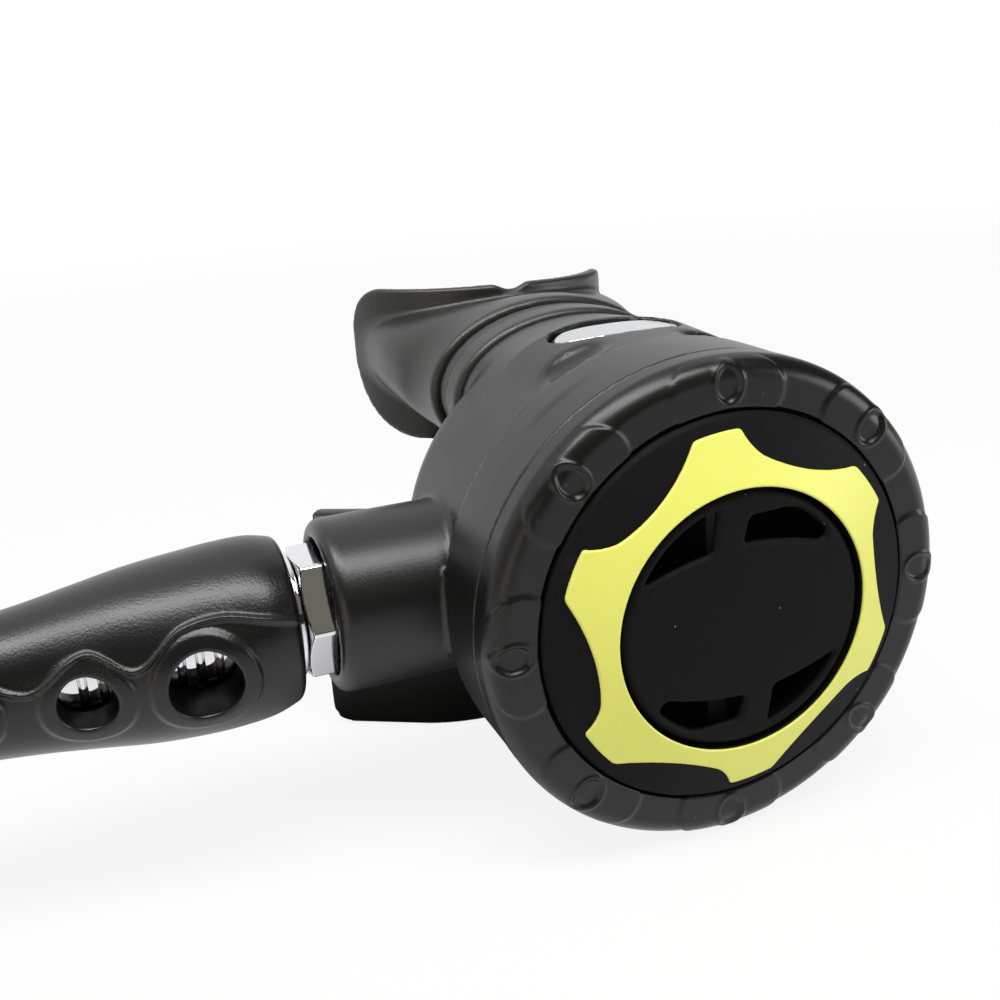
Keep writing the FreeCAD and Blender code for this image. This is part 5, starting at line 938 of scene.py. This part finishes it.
# Hose sleeve: a soft tapered guard over the ferrule and the hose's first stretch, with round holes
# in raised rims on two sides and a ridge that waves over them.
SLEEVE_START, SLEEVE_END, SLEEVE_ROUND = 0.0564, 0.1300, 0.0010
SLEEVE_PLACES = [0.0564, 0.0600, 0.0658, 0.0710, 0.0780, 0.0850, 0.0920, 0.1050, 0.1300]
SLEEVE_RADII = [0.0122, 0.0133, 0.0137, 0.0135, 0.0129, 0.0118, 0.0107, 0.0094, 0.0084]
HOLE_FIRST, HOLE_PITCH, HOLE_RADIUS, HOLE_SHRINK, HOLES = 0.0703, 0.0153, 0.0049, 0.00115, 3
HOLE_RIM, RIM_PROUD, RIM_FADE, HOLE_EDGE = 0.0025, 0.00025, 0.0010, 0.0007
HOLE_TILT = math.radians(11.0)
SAG_PLACES = [0.0564, 0.0700, 0.0850, 0.1000, 0.1300]
SLEEVE_SAGS = [0.0006, 0.0014, 0.0017, 0.0020, 0.0012]
BORE_PLACES, BORE_RADII, HOSE_BORE = [0.0859, 0.1045], [0.0080, 0.0067], 0.0065
RIDGE_TALL, RIDGE_WIDE = 0.00055, 0.00050
RIDGE_PLACES = [0.0564, 0.0610, 0.0676, 0.0725, 0.0793, 0.0846, 0.0928, 0.0995, 0.1075, 0.1180,
                0.1300]
RIDGE_ANGLES = [17.0, 22.0, 28.7, 26.0, 7.0, 22.8, 2.8, 17.0, 2.0, 6.0, 6.0]


def sleeve_field(p):
    along, y, z = -p[..., 0], p[..., 1] - BARREL_DEPTH, p[..., 2]
    radius = np.hypot(y, z)
    outside = curve_through(along, SLEEVE_PLACES, SLEEVE_RADII)
    sagged = z + curve_through(along, SAG_PLACES, SLEEVE_SAGS)
    height = z * math.cos(HOLE_TILT) - y * math.sin(HOLE_TILT)
    holes = [np.hypot(along - HOLE_FIRST - HOLE_PITCH * hole, height) - HOLE_RADIUS
             + HOLE_SHRINK * hole for hole in range(HOLES)]
    angle = np.degrees(np.arctan2(z, np.abs(y)))
    off = np.radians(angle - curve_through(along, RIDGE_PLACES, RIDGE_ANGLES)) * outside
    raised = RIDGE_TALL * np.exp(-(off / RIDGE_WIDE)**2) - RIM_PROUD * ramp(-off, RIM_FADE)
    for away in holes:
        rim = RIM_PROUD * (2 * ramp(HOLE_RIM - away, RIM_FADE) - 1)
        raised = meet(raised, rim, RIM_PROUD)
    solid = meet(np.hypot(y, sagged) - outside - raised, slab(-p, 0, SLEEVE_START, SLEEVE_END),
                 SLEEVE_ROUND)
    bore = np.maximum(radius - np.interp(along, BORE_PLACES, BORE_RADII), along - BORE_PLACES[-1])
    solid = cut(cut(solid, bore, CRISP), radius - HOSE_BORE, CRISP)
    for away in holes:
        solid = cut(solid, away, HOLE_EDGE)
    return solid


sleeve_rubber = moulded("sleeve_rubber", (0.0045, 0.0047, 0.0050), (0.03, 0.03, 0.033), rough=0.31,
                        scale=2600.0, depth=0.30)
sleeve = skin("sleeve_rubber", sleeve_field, (-0.1310, 0.0158, -0.0165), (-0.0558, 0.0458, 0.0145),
              0.00035)
fit(sleeve, sleeve_rubber, "hose_rubber", "stage", "hose_protector")

# Hose: 12 mm low-pressure rubber hose, about 0.69 m long. It leaves the sleeve level, sinks to the
# ground beside the stage and is put away there as a coil of one and a half turns, its first-stage
# fitting lying beside the coil.
HOSE_DIAMETER = 0.012
HOSE_ROUTE = [(-0.1005, -0.015, 0.036), (-0.1370, -0.015, 0.036), (-0.1780, -0.015, 0.0215),
              (-0.1970, -0.015, 0.0215), (-0.2090, -0.015, 0.0215)]
COIL_X, COIL_Y, COIL_RADIUS = -0.2090, 0.0450, 0.0600
COIL_LEVELS = [0.0215, 0.0215, 0.0215, 0.01375, 0.0060, 0.0060, 0.0073]
COIL_STEPS = 5
HOSE_END = (-0.1970, 0.1050, 0.0073)
route = list(HOSE_ROUTE)
turns = len(COIL_LEVELS) - 1
bow = COIL_RADIUS / math.cos(math.pi / 4 / COIL_STEPS)
for step in range(1, turns * COIL_STEPS):
    quarter = step / COIL_STEPS
    heading = -math.pi / 2 * (1 + quarter)
    level = float(np.interp(quarter, range(turns + 1), COIL_LEVELS))
    route.append((COIL_X + bow * math.cos(heading), COIL_Y + bow * math.sin(heading), level))
route += [(COIL_X, COIL_Y + COIL_RADIUS, COIL_LEVELS[-1]), HOSE_END]
hose_curve = bpy.data.curves.new("hose_line", "CURVE")
hose_curve.dimensions = "3D"
hose_curve.bevel_depth = HOSE_DIAMETER / 2
hose_curve.bevel_resolution = 12
hose_curve.resolution_u = 16
hose_curve.use_fill_caps = True
hose_line = hose_curve.splines.new("NURBS")
hose_line.points.add(len(route) - 1)
for point, spot in zip(hose_line.points, route):
    point.co = (*spot, 1)
hose_line.order_u = 3
hose_line.use_endpoint_u = True
hose = put("hose_line", hose_curve)
hose_cover = moulded("hose_cover", (0.015, 0.015, 0.016), (0.05, 0.05, 0.05), rough=0.5,
                     scale=2200.0, depth=0.3, dusty=0.02, wear=0.2)
fit(hose, hose_cover, "hose_rubber", "stage", "hose", "hose_coil")
far_end = [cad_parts[node] for node in ("far_ferrule", "first_stage_fitting", "fitting_oring")]
for piece in far_end[:2]:
    fit(piece, chrome, "chrome", None)
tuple(HOSE_ROUTE[0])
